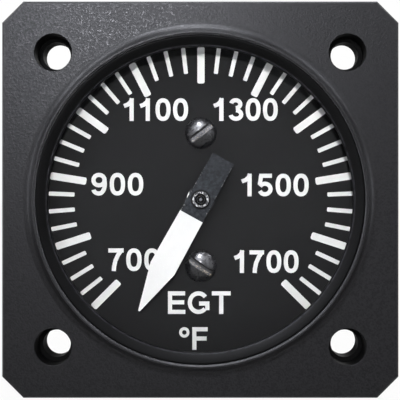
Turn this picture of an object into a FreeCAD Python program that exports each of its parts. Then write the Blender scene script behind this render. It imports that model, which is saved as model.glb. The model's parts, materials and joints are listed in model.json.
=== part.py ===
"""Exhaust gas temperature gauge for a 2 1/4 inch instrument panel hole.

The gauge looks along -Y: the pilot stands in front, at negative y, and the case runs back along +Y.
+Z is up. The origin is on the pointer's axis, on the flange's rear face, which lies on the panel.
Lengths are in millimetres and angles in degrees.
"""
import FreeCAD, Part
import math
import os
from types import SimpleNamespace
import Sketcher
from FreeCAD import Placement, Rotation, Vector

SIZES = [
    # Square front plate with its four panel screw holes
    ("bezel_thickness", "6.35"),
    ("corner_cut", "3.4"),
    ("plate_edge_break", "0.3"),
    ("plate_margin", "8.18"),
    ("hole_wall", "2.07"),
    ("hole_radius", "2.25"),
    ("counterbore_radius", "2.95"),
    ("counterbore_depth", "3.4"),
    ("counterbore_break", "0.1"),
    # Raised rim round the window, and the bores behind it
    ("rim_height", "1.2"),
    ("rim_slope", "0.95"),
    ("rim_foot_round", "1.5"),
    ("rim_land", "0.25"),
    ("rim_edge_break", "0.2"),
    ("rim_wall", "2"),
    ("ledge_width", "1"),
    ("ledge_thickness", "0.8"),
    ("socket_step", "0.6"),
    ("socket_wall", "1.3"),
    ("spigot_edge_break", "0.3"),
    # Retaining ring, glass and gasket
    ("ring_recess", "0.65"),
    ("ring_thickness", "1.1"),
    ("ring_width", "1.8"),
    ("ring_edge", "0.3"),
    ("press_gap", "0.02"),
    ("glass_gap", "0.1"),
    ("glass_thickness", "1.8"),
    ("gasket_thickness", "0.4"),
    # Dial, its screws and posts
    ("glass_clearance", "0.4"),
    ("dial_gap", "0.2"),
    ("dial_thickness", "0.8"),
    ("dial_hole_radius", "2"),
    ("dial_screw_offset", "11.1"),
    ("dial_head_radius", "2.6"),
    ("dial_head_edge", "0.35"),
    ("dial_head_height", "1.5"),
    ("dial_slot_width", "0.9"),
    ("dial_slot_depth", "0.75"),
    ("slot_overrun", "0.5"),
    ("upper_slot_angle", "140"),
    ("lower_slot_angle", "34"),
    ("dial_shank_radius", "1.2"),
    ("dial_shank_length", "3"),
    ("post_radius", "2.3"),
    ("dial_clearance", "0.4"),
    ("post_neck_radius", "1.6"),
    ("thread_gap", "0.05"),
    # Movement plate, front bearing and end stop
    ("movement_plate_thickness", "1.6"),
    ("socket_gap", "0.05"),
    ("bearing_radius", "1.5"),
    ("bearing_length", "3"),
    ("running_gap", "0.03"),
    ("stop_circle", "4"),
    ("stop_pin_radius", "1"),
    ("stop_pin_reach", "1.4"),
    ("stop_gap", "0.15"),
    # Staff with its magnet, pointer and collets
    ("staff_radius", "0.6"),
    ("staff_tip_radius", "0.3"),
    ("staff_tip_length", "0.35"),
    ("staff_tip_recess", "0.2"),
    ("pivot_radius", "0.3"),
    ("pivot_length", "1.2"),
    ("end_play", "0.2"),
    ("magnet_radius", "6.2"),
    ("magnet_thickness", "4.6"),
    ("pointer_rest_angle", "29"),
    ("pointer_lift", "2.4"),
    ("pointer_thickness", "0.4"),
    ("pointer_tip_gap", "4.4"),
    ("pointer_shoulder", "12.95"),
    ("pointer_tail", "7.7"),
    ("pointer_tail_width", "3.95"),
    ("pointer_shoulder_width", "4.45"),
    ("pointer_tip_width", "0.3"),
    ("hub_flange_radius", "2.3"),
    ("hub_flange_thickness", "0.5"),
    ("hub_bush_radius", "1.33"),
    ("hub_bush_proud", "0.7"),
    ("hub_recess_radius", "0.95"),
    ("hub_recess_depth", "0.5"),
    ("hub_sleeve_radius", "1.1"),
    ("hub_sleeve_length", "1.1"),
    ("stop_collet_radius", "1.4"),
    ("stop_arm_thickness", "0.7"),
    ("stop_arm_reach", "4.8"),
    ("collet_gap", "0.3"),
    # Hairspring, its collet and stud
    ("spring_collet_radius", "1.2"),
    ("spring_collet_length", "1"),
    ("spring_width", "0.5"),
    ("spring_strip", "0.12"),
    ("spring_turns", "4"),
    ("spring_stud_circle", "6.6"),
    ("spring_stud_radius", "0.5"),
    ("spring_stud_reach", "2.4"),
    # Coil former, windings and magnetic shield
    ("former_wall", "1.2"),
    ("former_half", "5"),
    ("former_corner", "1"),
    ("former_post", "1.7"),
    ("former_boss_radius", "1.7"),
    ("former_boss_length", "1.6"),
    ("former_bore_radius", "0.9"),
    ("magnet_gap", "0.6"),
    ("cavity_half_depth", "3.3"),
    ("winding_build", "1.4"),
    ("winding_gap", "0.1"),
    ("winding_side_gap", "0.2"),
    ("winding_clearance", "0.3"),
    ("winding_outer_round", "1.8"),
    ("winding_inner_round", "0.5"),
    ("jewel_radius", "1.05"),
    ("jewel_length", "1.5"),
    ("pin_radius", "0.4"),
    ("pin_seat", "2"),
    ("pin_overrun", "1"),
    ("pin_clearance", "0.5"),
    ("shield_gap", "0.6"),
    ("shield_wall", "0.8"),
    ("flange_margin", "0.25"),
    ("shield_screw_angle", "60"),
    ("shield_head_radius", "1.3"),
    ("shield_head_height", "0.9"),
    ("shield_shank_radius", "0.7"),
    ("small_slot_width", "0.4"),
    ("small_slot_depth", "0.4"),
    # Circuit board on its pillars
    ("pillar_gap", "2.1"),
    ("pillar_flats", "4.5"),
    ("board_clearance", "4"),
    ("pillar_neck_radius", "1.2"),
    ("pillar_tap_depth", "5"),
    ("board_margin", "1.3"),
    ("board_thickness", "1.6"),
    ("board_head_radius", "2.2"),
    ("board_head_height", "1.5"),
    ("board_shank_radius", "1.2"),
    ("board_shank_reach", "4"),
    ("hole_clearance", "0.15"),
    # Parts on the board
    ("chip_width", "6.4"),
    ("chip_height", "3.4"),
    ("chip_lift", "0.5"),
    ("leg_pitch", "2.54"),
    ("leg_width", "0.5"),
    ("leg_thickness", "0.3"),
    ("leg_rise", "2"),
    ("driver_length", "19.3"),
    ("amplifier_length", "9.6"),
    ("amplifier_left", "13"),
    ("part_gap", "0.3"),
    ("regulator_radius", "2.4"),
    ("regulator_flat", "1.3"),
    ("regulator_height", "4.8"),
    ("regulator_lift", "1.5"),
    ("regulator_leg_pitch", "1.27"),
    ("regulator_x", "12"),
    ("regulator_drop", "4"),
    ("capacitor_radius", "2.5"),
    ("capacitor_height", "5.4"),
    ("capacitor_crimp", "0.25"),
    ("crimp_height", "1"),
    ("capacitor_x", "3.2"),
    ("capacitor_z", "15"),
    # Calibration trimmers
    ("trimmer_x", "16"),
    ("trimmer_z", "4.5"),
    ("trimmer_side", "6.8"),
    ("trimmer_height", "5"),
    ("trimmer_bore_depth", "3"),
    ("rotor_radius", "1.7"),
    ("rotor_gap", "0.05"),
    ("rotor_floor_gap", "0.1"),
    ("rotor_proud", "0.6"),
    ("rotor_slot_width", "0.6"),
    ("rotor_slot_depth", "0.7"),
    ("trimmer_hole_radius", "2"),
    # Rear case and its screws
    ("board_gap", "3.2"),
    ("board_space", "6"),
    ("case_wall", "1.1"),
    ("case_back", "1.2"),
    ("case_corner", "1.5"),
    ("lip_wall", "1"),
    ("case_screw_head", "1.6"),
    ("case_screw_radius", "0.8"),
    ("case_screw_sink", "0.8"),
    ("case_screw_margin", "0.6"),
    ("case_screw_reach", "2.9"),
    ("case_screw_gap", "0.05"),
    # Terminal studs
    ("alumel_radius", "2.413"),
    ("chromel_radius", "2.083"),
    ("power_radius", "1.753"),
    ("sensor_stud_x", "6.5"),
    ("sensor_stud_drop", "15"),
    ("power_stud_x", "9"),
    ("power_stud_z", "13"),
    ("stud_tail_radius", "1.2"),
    ("stud_tail_overrun", "1"),
    ("stud_thread_overrun", "1"),
    ("stud_flange_thickness", "2.5"),
    ("stud_reach", "13.8"),
    ("stud_end_break", "0.4"),
    ("insulator_brim", "3.2"),
    ("insulator_thickness", "1.2"),
    ("insulator_neck", "1.1"),
    ("insulator_gap", "0.1"),
    ("washer_brim", "2.8"),
    ("washer_thickness", "0.8"),
    ("alumel_flats", "9.5"),
    ("chromel_flats", "8.7"),
    ("power_flats", "7.9"),
    ("nut_thickness", "2.6"),
]

doc = FreeCAD.newDocument("egt_gauge")
sheet = doc.addObject("Spreadsheet::Sheet", "dims")
for row, (alias, number) in enumerate(SIZES, start=1):
    sheet.set(f"A{row}", alias)
    sheet.set(f"B{row}", number)
    sheet.setAlias(f"B{row}", alias)
doc.recompute()


# Sizes that keep their sheet expression

class Size:
    """A number from the sheet, with the expression that gives it, so that both add and scale."""

    def __init__(self, text, number):
        self.text = text
        self.number = number

    def __add__(self, other):
        other = as_size(other)
        return Size(f"({self.text} + {other.text})", self.number + other.number)

    def __sub__(self, other):
        other = as_size(other)
        return Size(f"({self.text} - {other.text})", self.number - other.number)

    def __mul__(self, other):
        other = as_size(other)
        return Size(f"({self.text} * {other.text})", self.number * other.number)

    def __truediv__(self, other):
        other = as_size(other)
        return Size(f"({self.text} / {other.text})", self.number / other.number)

    def __neg__(self):
        return Size(f"(0 - {self.text})", -self.number)


def as_size(value):
    """A plain number as a size of its own."""
    if isinstance(value, Size):
        return value
    return Size(f"({value:.9f})", float(value))


def sine(angle):
    return Size(f"sin({angle.text} * 1deg)", math.sin(math.radians(angle.number)))


d = SimpleNamespace(**{alias: Size(f"dims.{alias}", float(sheet.get(alias))) for alias, number in SIZES})
FULL_TURN = 360
STRAIGHT_DOWN = 180
RIGHT_ANGLE = 90
SQUARE_ROOT_OF_2 = math.sqrt(2)
SQUARE_ROOT_OF_3 = math.sqrt(3)
HEXAGON_SIDES = 6
THREE_SCREWS = 3
DRIVER_LEGS = 7
AMPLIFIER_LEGS = 4
NEARLY_ZERO = 1e-4
nodes = []


# Sketches and features

def new_body(label, kept=True):
    """An empty body; a kept one becomes a node, the others are only copied into groups."""
    body = doc.addObject("PartDesign::Body", label)
    if kept:
        nodes.append(body)
    return body


def origin_item(body, role):
    return [item for item in body.Origin.OriginFeatures if item.Role == role][0]


def new_sketch(body, name, role, offset=None):
    """A sketch on one of the body's own planes, moved by offset along that plane's normal."""
    sketch = body.newObject("Sketcher::SketchObject", name)
    sketch.AttachmentSupport = (origin_item(body, role), "")
    sketch.MapMode = "FlatFace"
    if offset is not None:
        sketch.setExpression("AttachmentOffset.Base.z", offset.text)
    return sketch


def fix_point(sketch, item, end, x, y):
    """Dimension one point from the sketch's origin; a coordinate of zero puts it on the axis."""
    for kind, axis, value in (("DistanceX", -2, as_size(x)), ("DistanceY", -1, as_size(y))):
        if abs(value.number) < NEARLY_ZERO:
            sketch.addConstraint(Sketcher.Constraint("PointOnObject", item, end, axis))
        else:
            index = sketch.addConstraint(Sketcher.Constraint(kind, item, end, value.number))
            sketch.setExpression(f"Constraints[{index}]", value.text)


def draw_outline(sketch, corners, domes=()):
    """A closed outline through the corners. A side named in domes is an arc centred on the y axis."""
    first = sketch.GeometryCount
    points = [Vector(as_size(x).number, as_size(y).number, 0) for x, y in corners]
    ends = []
    for side, start in enumerate(points):
        stop = points[(side + 1) % len(points)]
        if side in domes:
            middle = (start.x ** 2 - stop.x ** 2 + start.y ** 2 - stop.y ** 2) / (2 * (start.y - stop.y))
            centre = Vector(0, middle, 0)
            angles = [math.atan2(point.y - middle, point.x) for point in (start, stop)]
            circle = Part.Circle(centre, Vector(0, 0, 1), (start - centre).Length)
            sketch.addGeometry(Part.ArcOfCircle(circle, min(angles), max(angles)), False)
            sketch.addConstraint(Sketcher.Constraint("PointOnObject", first + side, 3, -2))
            ends.append((1, 2) if angles[0] < angles[1] else (2, 1))
        else:
            sketch.addGeometry(Part.LineSegment(start, stop), False)
            ends.append((1, 2))
    for side, (x, y) in enumerate(corners):
        following = (side + 1) % len(corners)
        sketch.addConstraint(Sketcher.Constraint(
            "Coincident", first + side, ends[side][1], first + following, ends[following][0]))
        fix_point(sketch, first + side, ends[side][0], x, y)


def draw_circle(sketch, x, y, radius):
    item = sketch.GeometryCount
    centre = Vector(as_size(x).number, as_size(y).number, 0)
    sketch.addGeometry(Part.Circle(centre, Vector(0, 0, 1), radius.number), False)
    fix_point(sketch, item, 3, x, y)
    index = sketch.addConstraint(Sketcher.Constraint("Radius", item, radius.number))
    sketch.setExpression(f"Constraints[{index}]", radius.text)


def turn(body, name, corners, domes=(), cut=False):
    """Turn a half section of (radius, y) corners about the gauge's axis, as material or as a cut."""
    sketch = new_sketch(body, name + "_section", "XY_Plane")
    draw_outline(sketch, corners, domes)
    feature = body.newObject("PartDesign::Groove" if cut else "PartDesign::Revolution", name)
    feature.Profile = sketch
    feature.ReferenceAxis = (sketch, ["V_Axis"])
    feature.Angle = FULL_TURN
    return feature


def face_sketch(body, name, front, outlines, circles):
    """A sketch seen from the front, at y = front, of outlines and (x, z, radius) circles."""
    sketch = new_sketch(body, name + "_sketch", "XZ_Plane", -front)
    for corners in outlines:
        draw_outline(sketch, corners)
    for x, z, radius in circles:
        draw_circle(sketch, x, z, radius)
    return sketch


def pad(body, name, front, depth, outlines=(), circles=()):
    """Material from y = front back over depth."""
    feature = body.newObject("PartDesign::Pad", name)
    feature.Profile = face_sketch(body, name, front, outlines, circles)
    feature.Reversed = True
    feature.setExpression("Length", depth.text)
    return feature


def pocket(body, name, front, depth, outlines=(), circles=()):
    """A cut from y = front back over depth."""
    feature = body.newObject("PartDesign::Pocket", name)
    feature.Profile = face_sketch(body, name, front, outlines, circles)
    feature.setExpression("Length", depth.text)
    return feature


def break_edges(body, name, kind, size, wanted):
    """Chamfer or fillet the edges of the body's last feature that wanted picks."""
    doc.recompute()
    base = body.Tip
    names = [f"Edge{index}" for index, edge in enumerate(base.Shape.Edges, start=1) if wanted(edge)]
    feature = body.newObject(f"PartDesign::{kind}", name)
    feature.Base = (base, names)
    feature.setExpression("Size" if kind == "Chamfer" else "Radius", size.text)
    return feature


def at_height(edge, y):
    """True where the whole edge lies at this y."""
    box = edge.BoundBox
    return abs(box.YMin - y.number) < NEARLY_ZERO and abs(box.YMax - y.number) < NEARLY_ZERO


def is_circle(edge, radius):
    return isinstance(edge.Curve, Part.Circle) and abs(edge.Curve.Radius - radius.number) < NEARLY_ZERO


def is_line(edge):
    return isinstance(edge.Curve, (Part.Line, Part.LineSegment))


def along_y(edge):
    box = edge.BoundBox
    return is_line(edge) and box.XLength < NEARLY_ZERO and box.ZLength < NEARLY_ZERO


def place(item, x=0, z=0):
    item.setExpression("Placement.Base.x", as_size(x).text)
    item.setExpression("Placement.Base.z", as_size(z).text)
    return item


def group(label, copies):
    """One node of separate solids: each copy is a source body, an x and a z, and maybe a turn about y."""
    links = []
    for index, (source, x, z, *angle) in enumerate(copies, start=1):
        link = doc.addObject("App::Link", f"{label}_{index}")
        link.LinkedObject = source
        if angle:
            link.Placement = Placement(Vector(), Rotation(Vector(0, 1, 0), angle[0].number))
            link.setExpression("Placement.Rotation.Angle", angle[0].text)
        links.append(place(link, x, z))
    whole = doc.addObject("Part::Compound", label)
    whole.Links = links
    nodes.append(whole)
    return whole


def on_circle(count, radius, first_angle):
    """Places (x, z) evenly round a circle, clockwise from the top as seen from the front."""
    angles = [math.radians(first_angle + FULL_TURN * index / count) for index in range(count)]
    return [(radius * math.sin(angle), radius * math.cos(angle)) for angle in angles]


def rectangle(x, z, width, height):
    """Corners of an upright rectangle round the centre x, z."""
    x, z = as_size(x), as_size(z)
    left, right = x - width / 2, x + width / 2
    low, high = z - height / 2, z + height / 2
    return [(left, low), (right, low), (right, high), (left, high)]


def slot_across(radius, width):
    """Corners of a screwdriver slot that runs out past a round head on both sides."""
    return rectangle(0, 0, (radius + d.slot_overrun) * 2, width)


def hexagon(flats):
    """Corners of a hexagon of this width across flats."""
    corner = flats / SQUARE_ROOT_OF_3
    return [(corner * math.cos(angle), corner * math.sin(angle))
            for angle in (math.radians(FULL_TURN / HEXAGON_SIDES * side) for side in range(HEXAGON_SIDES))]


# Widths from the axis outwards: the magnet sets the movement, and the movement sets the case

cavity_radius = d.magnet_radius + d.magnet_gap
former_side = (cavity_radius + d.former_wall) * 2
winding_near = d.former_boss_radius + d.winding_side_gap
winding_far = former_side / 2 - d.former_post - d.winding_side_gap
shield_radius = former_side / SQUARE_ROOT_OF_2 + d.shield_gap + d.shield_wall
shield_screw_circle = shield_radius + d.shield_head_radius + d.flange_margin
shield_flange_radius = shield_screw_circle + d.shield_head_radius + d.flange_margin
pillar_circle = shield_flange_radius + d.pillar_gap + d.pillar_flats / SQUARE_ROOT_OF_3
board_radius = pillar_circle + d.board_head_radius + d.board_margin
case_inner_radius = board_radius + d.board_gap
spigot_radius = case_inner_radius + d.case_wall

# The rim, the glass and the plate round the case; the holes come out on the usual 47.14 mm square

window_radius = spigot_radius - d.rim_wall
rim_crown_radius = window_radius + d.rim_edge_break + d.rim_land
rim_foot_radius = rim_crown_radius + d.rim_slope
ledge_radius = window_radius - d.ledge_width
ring_radius = window_radius - d.press_gap
ring_inner_radius = window_radius - d.ring_width
glass_radius = window_radius - d.glass_gap
pointer_reach = ledge_radius - d.pointer_tip_gap
socket_radius = spigot_radius - d.socket_wall
throat_radius = socket_radius - d.socket_step
lip_radius = socket_radius - d.socket_gap
hole_square = (spigot_radius + d.hole_wall + d.counterbore_radius) * SQUARE_ROOT_OF_2
bezel_side = hole_square + d.plate_margin * 2


# Stations along the axis, from the front of the rim to the ends of the studs

plate_front = -d.bezel_thickness
rim_front = plate_front - d.rim_height
ring_front = rim_front + d.ring_recess
glass_front = ring_front + d.ring_thickness
glass_rear = glass_front + d.glass_thickness
ledge_front = glass_rear + d.gasket_thickness
ledge_rear = ledge_front + d.ledge_thickness
dial_front = glass_rear + d.glass_clearance + d.hub_bush_proud + d.pointer_lift
dial_rear = dial_front + d.dial_thickness
spring_collet_front = dial_rear + d.dial_clearance
stop_arm_front = spring_collet_front + d.spring_collet_length + d.collet_gap
movement_front = stop_arm_front + d.stop_arm_thickness + d.collet_gap
movement_rear = movement_front + d.movement_plate_thickness
outer_winding_front = movement_rear + d.winding_clearance
inner_winding_front = outer_winding_front + d.winding_build + d.winding_gap
former_front = inner_winding_front + d.winding_build + d.winding_gap
former_joint = former_front + d.former_half
former_rear = former_joint + d.former_half
inner_winding_rear = former_rear + d.winding_gap + d.winding_build
outer_winding_rear = inner_winding_rear + d.winding_gap + d.winding_build
shield_floor = outer_winding_rear + d.winding_clearance
shield_rear = shield_floor + d.shield_wall
board_front = shield_rear + d.board_clearance
board_rear = board_front + d.board_thickness
nut_front = board_rear + d.board_space
washer_front = nut_front + d.nut_thickness
case_inner = washer_front + d.washer_thickness
case_rear = case_inner + d.case_back
insulator_rear = case_rear + d.insulator_thickness
stud_rear = case_rear + d.stud_reach
case_screw_station = movement_rear + d.case_screw_head + d.case_screw_margin
spigot_rear = case_screw_station + d.case_screw_head + d.case_screw_margin

# Places seen from the front

half_square = hole_square / 2
panel_holes = [(x, z) for x in (-half_square, half_square) for z in (-half_square, half_square)]
dial_screw_places = [(0, d.dial_screw_offset), (0, -d.dial_screw_offset)]
pillar_places = on_circle(THREE_SCREWS, pillar_circle, 0)
shield_screw_places = on_circle(THREE_SCREWS, shield_screw_circle, d.shield_screw_angle.number)
former_post_place = (former_side - d.former_post) / 2
pin_places = [(x, z) for x in (-former_post_place, former_post_place)
              for z in (-former_post_place, former_post_place)]
studs = [
    ("alumel", d.alumel_radius, -d.sensor_stud_x, -d.sensor_stud_drop, d.alumel_flats),
    ("chromel", d.chromel_radius, d.sensor_stud_x, -d.sensor_stud_drop, d.chromel_flats),
    ("power_left", d.power_radius, -d.power_stud_x, d.power_stud_z, d.power_flats),
    ("power_right", d.power_radius, d.power_stud_x, d.power_stud_z, d.power_flats),
]


# Bezel: square front plate, raised rim and rear spigot in one moulding

def cut_case_screw_holes(body, sunk):
    """Three radial screw holes through a round wall, countersunk where sunk is true."""
    hole = body.newObject("PartDesign::SubtractiveCylinder", body.Name + "_screw_hole")
    hole.setExpression("Radius", (d.case_screw_radius + d.case_screw_gap).text)
    hole.setExpression("Height", spigot_radius.text)
    hole.setExpression("Placement.Base.y", case_screw_station.text)
    cuts = [hole]
    if sunk:
        cone = body.newObject("PartDesign::SubtractiveCone", body.Name + "_screw_sink")
        cone.setExpression("Radius1", (d.case_screw_radius + d.case_screw_gap).text)
        cone.setExpression("Radius2", (d.case_screw_head + d.case_screw_gap).text)
        cone.setExpression("Height", d.case_screw_sink.text)
        cone.setExpression("Placement.Base.y", case_screw_station.text)
        cone.setExpression("Placement.Base.z", (spigot_radius - d.case_screw_sink).text)
        cuts.append(cone)
    ring = body.newObject("PartDesign::PolarPattern", body.Name + "_screw_ring")
    ring.Originals = cuts
    ring.Axis = (origin_item(body, "Y_Axis"), [""])
    ring.Angle = FULL_TURN
    ring.Occurrences = THREE_SCREWS
    body.Tip = ring


def make_bezel():
    body = new_body("bezel")
    half = bezel_side / 2
    short = half - d.corner_cut
    octagon = [(short, half), (half, short), (half, -short), (short, -half),
               (-short, -half), (-half, -short), (-half, short), (-short, half)]
    pad(body, "front_plate", plate_front, d.bezel_thickness, [octagon])
    turn(body, "rim_and_spigot", [
        (0, rim_front),
        (rim_crown_radius, rim_front),
        (rim_foot_radius, plate_front),
        (rim_foot_radius, 0),
        (spigot_radius, 0),
        (spigot_radius, spigot_rear - d.spigot_edge_break),
        (spigot_radius - d.spigot_edge_break, spigot_rear),
        (0, spigot_rear)])
    break_edges(body, "rim_foot_round", "Fillet", d.rim_foot_round,
                lambda edge: at_height(edge, plate_front) and is_circle(edge, rim_foot_radius))
    turn(body, "window_and_socket", [
        (0, rim_front),
        (window_radius + d.rim_edge_break, rim_front),
        (window_radius, rim_front + d.rim_edge_break),
        (window_radius, ledge_front),
        (ledge_radius, ledge_front),
        (ledge_radius, ledge_rear),
        (throat_radius, ledge_rear),
        (throat_radius, movement_front),
        (socket_radius, movement_front),
        (socket_radius, spigot_rear),
        (0, spigot_rear)], cut=True)
    pocket(body, "panel_holes", plate_front, d.bezel_thickness,
           circles=[(x, z, d.hole_radius) for x, z in panel_holes])
    pocket(body, "counterbores", plate_front, d.counterbore_depth,
           circles=[(x, z, d.counterbore_radius) for x, z in panel_holes])
    cut_case_screw_holes(body, sunk=True)
    break_edges(body, "counterbore_break", "Chamfer", d.counterbore_break,
                lambda edge: at_height(edge, plate_front) and is_circle(edge, d.counterbore_radius))
    break_edges(body, "plate_edge_break", "Chamfer", d.plate_edge_break,
                lambda edge: at_height(edge, plate_front) and is_line(edge))


make_bezel()


# Retaining ring, glass and gasket

turn(new_body("retaining_ring"), "ring", [
    (ring_inner_radius, glass_front - d.ring_edge),
    (ring_radius, ring_front),
    (ring_radius, glass_front),
    (ring_inner_radius, glass_front)])

turn(new_body("cover_glass"), "glass", [
    (0, glass_front), (glass_radius, glass_front), (glass_radius, glass_rear), (0, glass_rear)])

turn(new_body("glass_gasket"), "gasket", [
    (ledge_radius, glass_rear), (glass_radius, glass_rear),
    (glass_radius, ledge_front), (ledge_radius, ledge_front)])


# Dial with the two screws and posts that carry it

dial = new_body("dial_plate")
pad(dial, "dial_disc", dial_front, d.dial_thickness, circles=[(0, 0, throat_radius - d.dial_gap)])
pocket(dial, "dial_holes", dial_front, d.dial_thickness,
       circles=[(0, 0, d.dial_hole_radius)]
       + [(x, z, d.dial_shank_radius + d.hole_clearance) for x, z in dial_screw_places])

dial_screw = new_body("dial_screw", kept=False)
turn(dial_screw, "dome_head", [
    (0, dial_front - d.dial_head_height),
    (d.dial_head_radius, dial_front - d.dial_head_edge),
    (d.dial_head_radius, dial_front),
    (d.dial_shank_radius, dial_front),
    (d.dial_shank_radius, dial_front + d.dial_shank_length),
    (0, dial_front + d.dial_shank_length)], domes=[0])
pocket(dial_screw, "dial_slot", dial_front - d.dial_head_height, d.dial_slot_depth,
       [slot_across(d.dial_head_radius, d.dial_slot_width)])
group("dial_screws", [(dial_screw, *dial_screw_places[0], d.upper_slot_angle),
                      (dial_screw, *dial_screw_places[1], d.lower_slot_angle)])

dial_post = new_body("dial_post", kept=False)
turn(dial_post, "post", [
    (d.dial_shank_radius + d.thread_gap, dial_rear),
    (d.post_radius, dial_rear),
    (d.post_radius, movement_front),
    (d.post_neck_radius, movement_front),
    (d.post_neck_radius, movement_rear),
    (d.dial_shank_radius + d.thread_gap, movement_rear)])
group("dial_posts", [(dial_post, x, z) for x, z in dial_screw_places])


# Movement plate, clamped between the bezel's step and the case's lip

movement_plate = new_body("movement_plate")
pad(movement_plate, "movement_disc", movement_front, d.movement_plate_thickness,
    circles=[(0, 0, socket_radius - d.socket_gap)])
pocket(movement_plate, "movement_holes", movement_front, d.movement_plate_thickness,
       circles=[(0, 0, d.bearing_radius + d.press_gap),
                (0, -d.stop_circle, d.stop_pin_radius + d.press_gap),
                (d.spring_stud_circle, 0, d.spring_stud_radius + d.press_gap)]
       + [(x, z, d.post_neck_radius + d.press_gap) for x, z in dial_screw_places]
       + [(x, z, d.shield_shank_radius + d.thread_gap) for x, z in shield_screw_places]
       + [(x, z, d.pillar_neck_radius + d.thread_gap) for x, z in pillar_places])

turn(new_body("front_bearing"), "bush", [
    (d.staff_radius + d.running_gap, movement_front),
    (d.bearing_radius, movement_front),
    (d.bearing_radius, movement_front + d.bearing_length),
    (d.staff_radius + d.running_gap, movement_front + d.bearing_length)])

pad(new_body("stop_pin"), "pin", movement_front - d.stop_pin_reach,
    d.stop_pin_reach + d.movement_plate_thickness, circles=[(0, -d.stop_circle, d.stop_pin_radius)])


# Staff, magnet, pointer and hub: the pieces that turn

jewel_front = former_rear + d.press_gap
staff_shoulder = jewel_front - d.end_play
pointer_front = dial_front - d.pointer_lift
pointer_rear = pointer_front + d.pointer_thickness
hub_front = pointer_front - d.hub_bush_proud
hub_flange_rear = pointer_rear + d.hub_flange_thickness
staff_front = hub_front + d.staff_tip_recess
staff_bore = d.staff_radius + d.press_gap
rest_turn = d.pointer_rest_angle + STRAIGHT_DOWN


def turned_to_rest(body):
    """Turn a body that was drawn pointing up to the pointer's rest, on its low stop."""
    body.Placement = Placement(Vector(), Rotation(Vector(0, 1, 0), rest_turn.number))
    body.setExpression("Placement.Rotation.Angle", rest_turn.text)
    return body


turn(new_body("staff"), "staff_turned", [
    (0, staff_front),
    (d.staff_tip_radius, staff_front),
    (d.staff_tip_radius, staff_front + d.staff_tip_length),
    (d.staff_radius, staff_front + d.staff_tip_length),
    (d.staff_radius, staff_shoulder),
    (d.pivot_radius, staff_shoulder),
    (d.pivot_radius, staff_shoulder + d.pivot_length),
    (0, staff_shoulder + d.pivot_length)])

magnet_front = former_joint - d.magnet_thickness / 2
pad(new_body("rotor_magnet"), "magnet_disc", magnet_front, d.magnet_thickness,
    circles=[(0, 0, d.magnet_radius), (0, 0, staff_bore)])

pointer = turned_to_rest(new_body("pointer"))
pad(pointer, "lance", pointer_front, d.pointer_thickness, [[
    (-d.pointer_tail_width / 2, -d.pointer_tail),
    (d.pointer_tail_width / 2, -d.pointer_tail),
    (d.pointer_shoulder_width / 2, d.pointer_shoulder),
    (d.pointer_tip_width / 2, pointer_reach),
    (-d.pointer_tip_width / 2, pointer_reach),
    (-d.pointer_shoulder_width / 2, d.pointer_shoulder)]])
pocket(pointer, "hub_hole", pointer_front, d.pointer_thickness,
       circles=[(0, 0, d.hub_bush_radius + d.press_gap)])

turn(new_body("pointer_hub"), "hub_turned", [
    (d.hub_recess_radius, hub_front),
    (d.hub_bush_radius, hub_front),
    (d.hub_bush_radius, pointer_rear),
    (d.hub_flange_radius, pointer_rear),
    (d.hub_flange_radius, hub_flange_rear),
    (d.hub_sleeve_radius, hub_flange_rear),
    (d.hub_sleeve_radius, hub_flange_rear + d.hub_sleeve_length),
    (staff_bore, hub_flange_rear + d.hub_sleeve_length),
    (staff_bore, hub_front + d.hub_recess_depth),
    (d.hub_recess_radius, hub_front + d.hub_recess_depth)])

stop_arm_width = (sine(d.pointer_rest_angle) * d.stop_circle - d.stop_pin_radius - d.stop_gap) * 2
stop_arm = turned_to_rest(new_body("stop_arm"))
pad(stop_arm, "arm", stop_arm_front, d.stop_arm_thickness,
    [rectangle(0, d.stop_arm_reach / 2, stop_arm_width, d.stop_arm_reach)])
pad(stop_arm, "arm_collet", stop_arm_front, d.stop_arm_thickness, circles=[(0, 0, d.stop_collet_radius)])
pocket(stop_arm, "arm_bore", stop_arm_front, d.stop_arm_thickness, circles=[(0, 0, staff_bore)])


# Hairspring between its collet on the staff and its stud on the movement plate

pad(new_body("hairspring_collet"), "spring_collet", spring_collet_front, d.spring_collet_length,
    circles=[(0, 0, d.spring_collet_radius), (0, 0, staff_bore)])
pad(new_body("hairspring_stud"), "spring_stud", movement_front - d.spring_stud_reach,
    d.spring_stud_reach + d.movement_plate_thickness,
    circles=[(d.spring_stud_circle, 0, d.spring_stud_radius)])


def make_hairspring():
    """A flat strip wound in half circles about two centres, from beside the collet out to the stud."""
    strip = d.spring_strip.number
    inner = d.spring_collet_radius.number + d.running_gap.number + strip / 2
    outer = (d.spring_stud_circle - d.spring_stud_radius - d.press_gap).number - strip / 2
    halves = round(d.spring_turns.number * 2)
    growth = (outer - inner) / halves

    def spiral(shift):
        arcs = []
        start = inner + shift
        side = 1
        for half in range(halves):
            stop = start + growth
            middle = (start - stop) / 2 * side
            radius = (start + stop) / 2
            arcs.append(Part.Arc(Vector(start * side, 0, 0), Vector(middle, 0, radius * side),
                                 Vector(-stop * side, 0, 0)).toShape())
            start = stop
            side = -side
        return Part.Wire(arcs), Vector(inner + shift, 0, 0), Vector(start * side, 0, 0)

    near, near_start, near_stop = spiral(-strip / 2)
    far, far_start, far_stop = spiral(strip / 2)
    start = Part.makeLine(near_start, far_start)
    stop = Part.makeLine(near_stop, far_stop)
    face = Part.Face(Part.Wire(Part.__sortEdges__([*near.Edges, stop, *far.Edges, start])))
    spring = doc.addObject("Part::Feature", "hairspring")
    spring.Shape = face.extrude(Vector(0, d.spring_width.number, 0))
    spring_front = spring_collet_front + (d.spring_collet_length - d.spring_width) / 2
    spring.setExpression("Placement.Base.y", spring_front.text)
    nodes.append(spring)


make_hairspring()


# Coil former: two equal halves round the magnet, with posts that reach the plate and the shield

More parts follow.
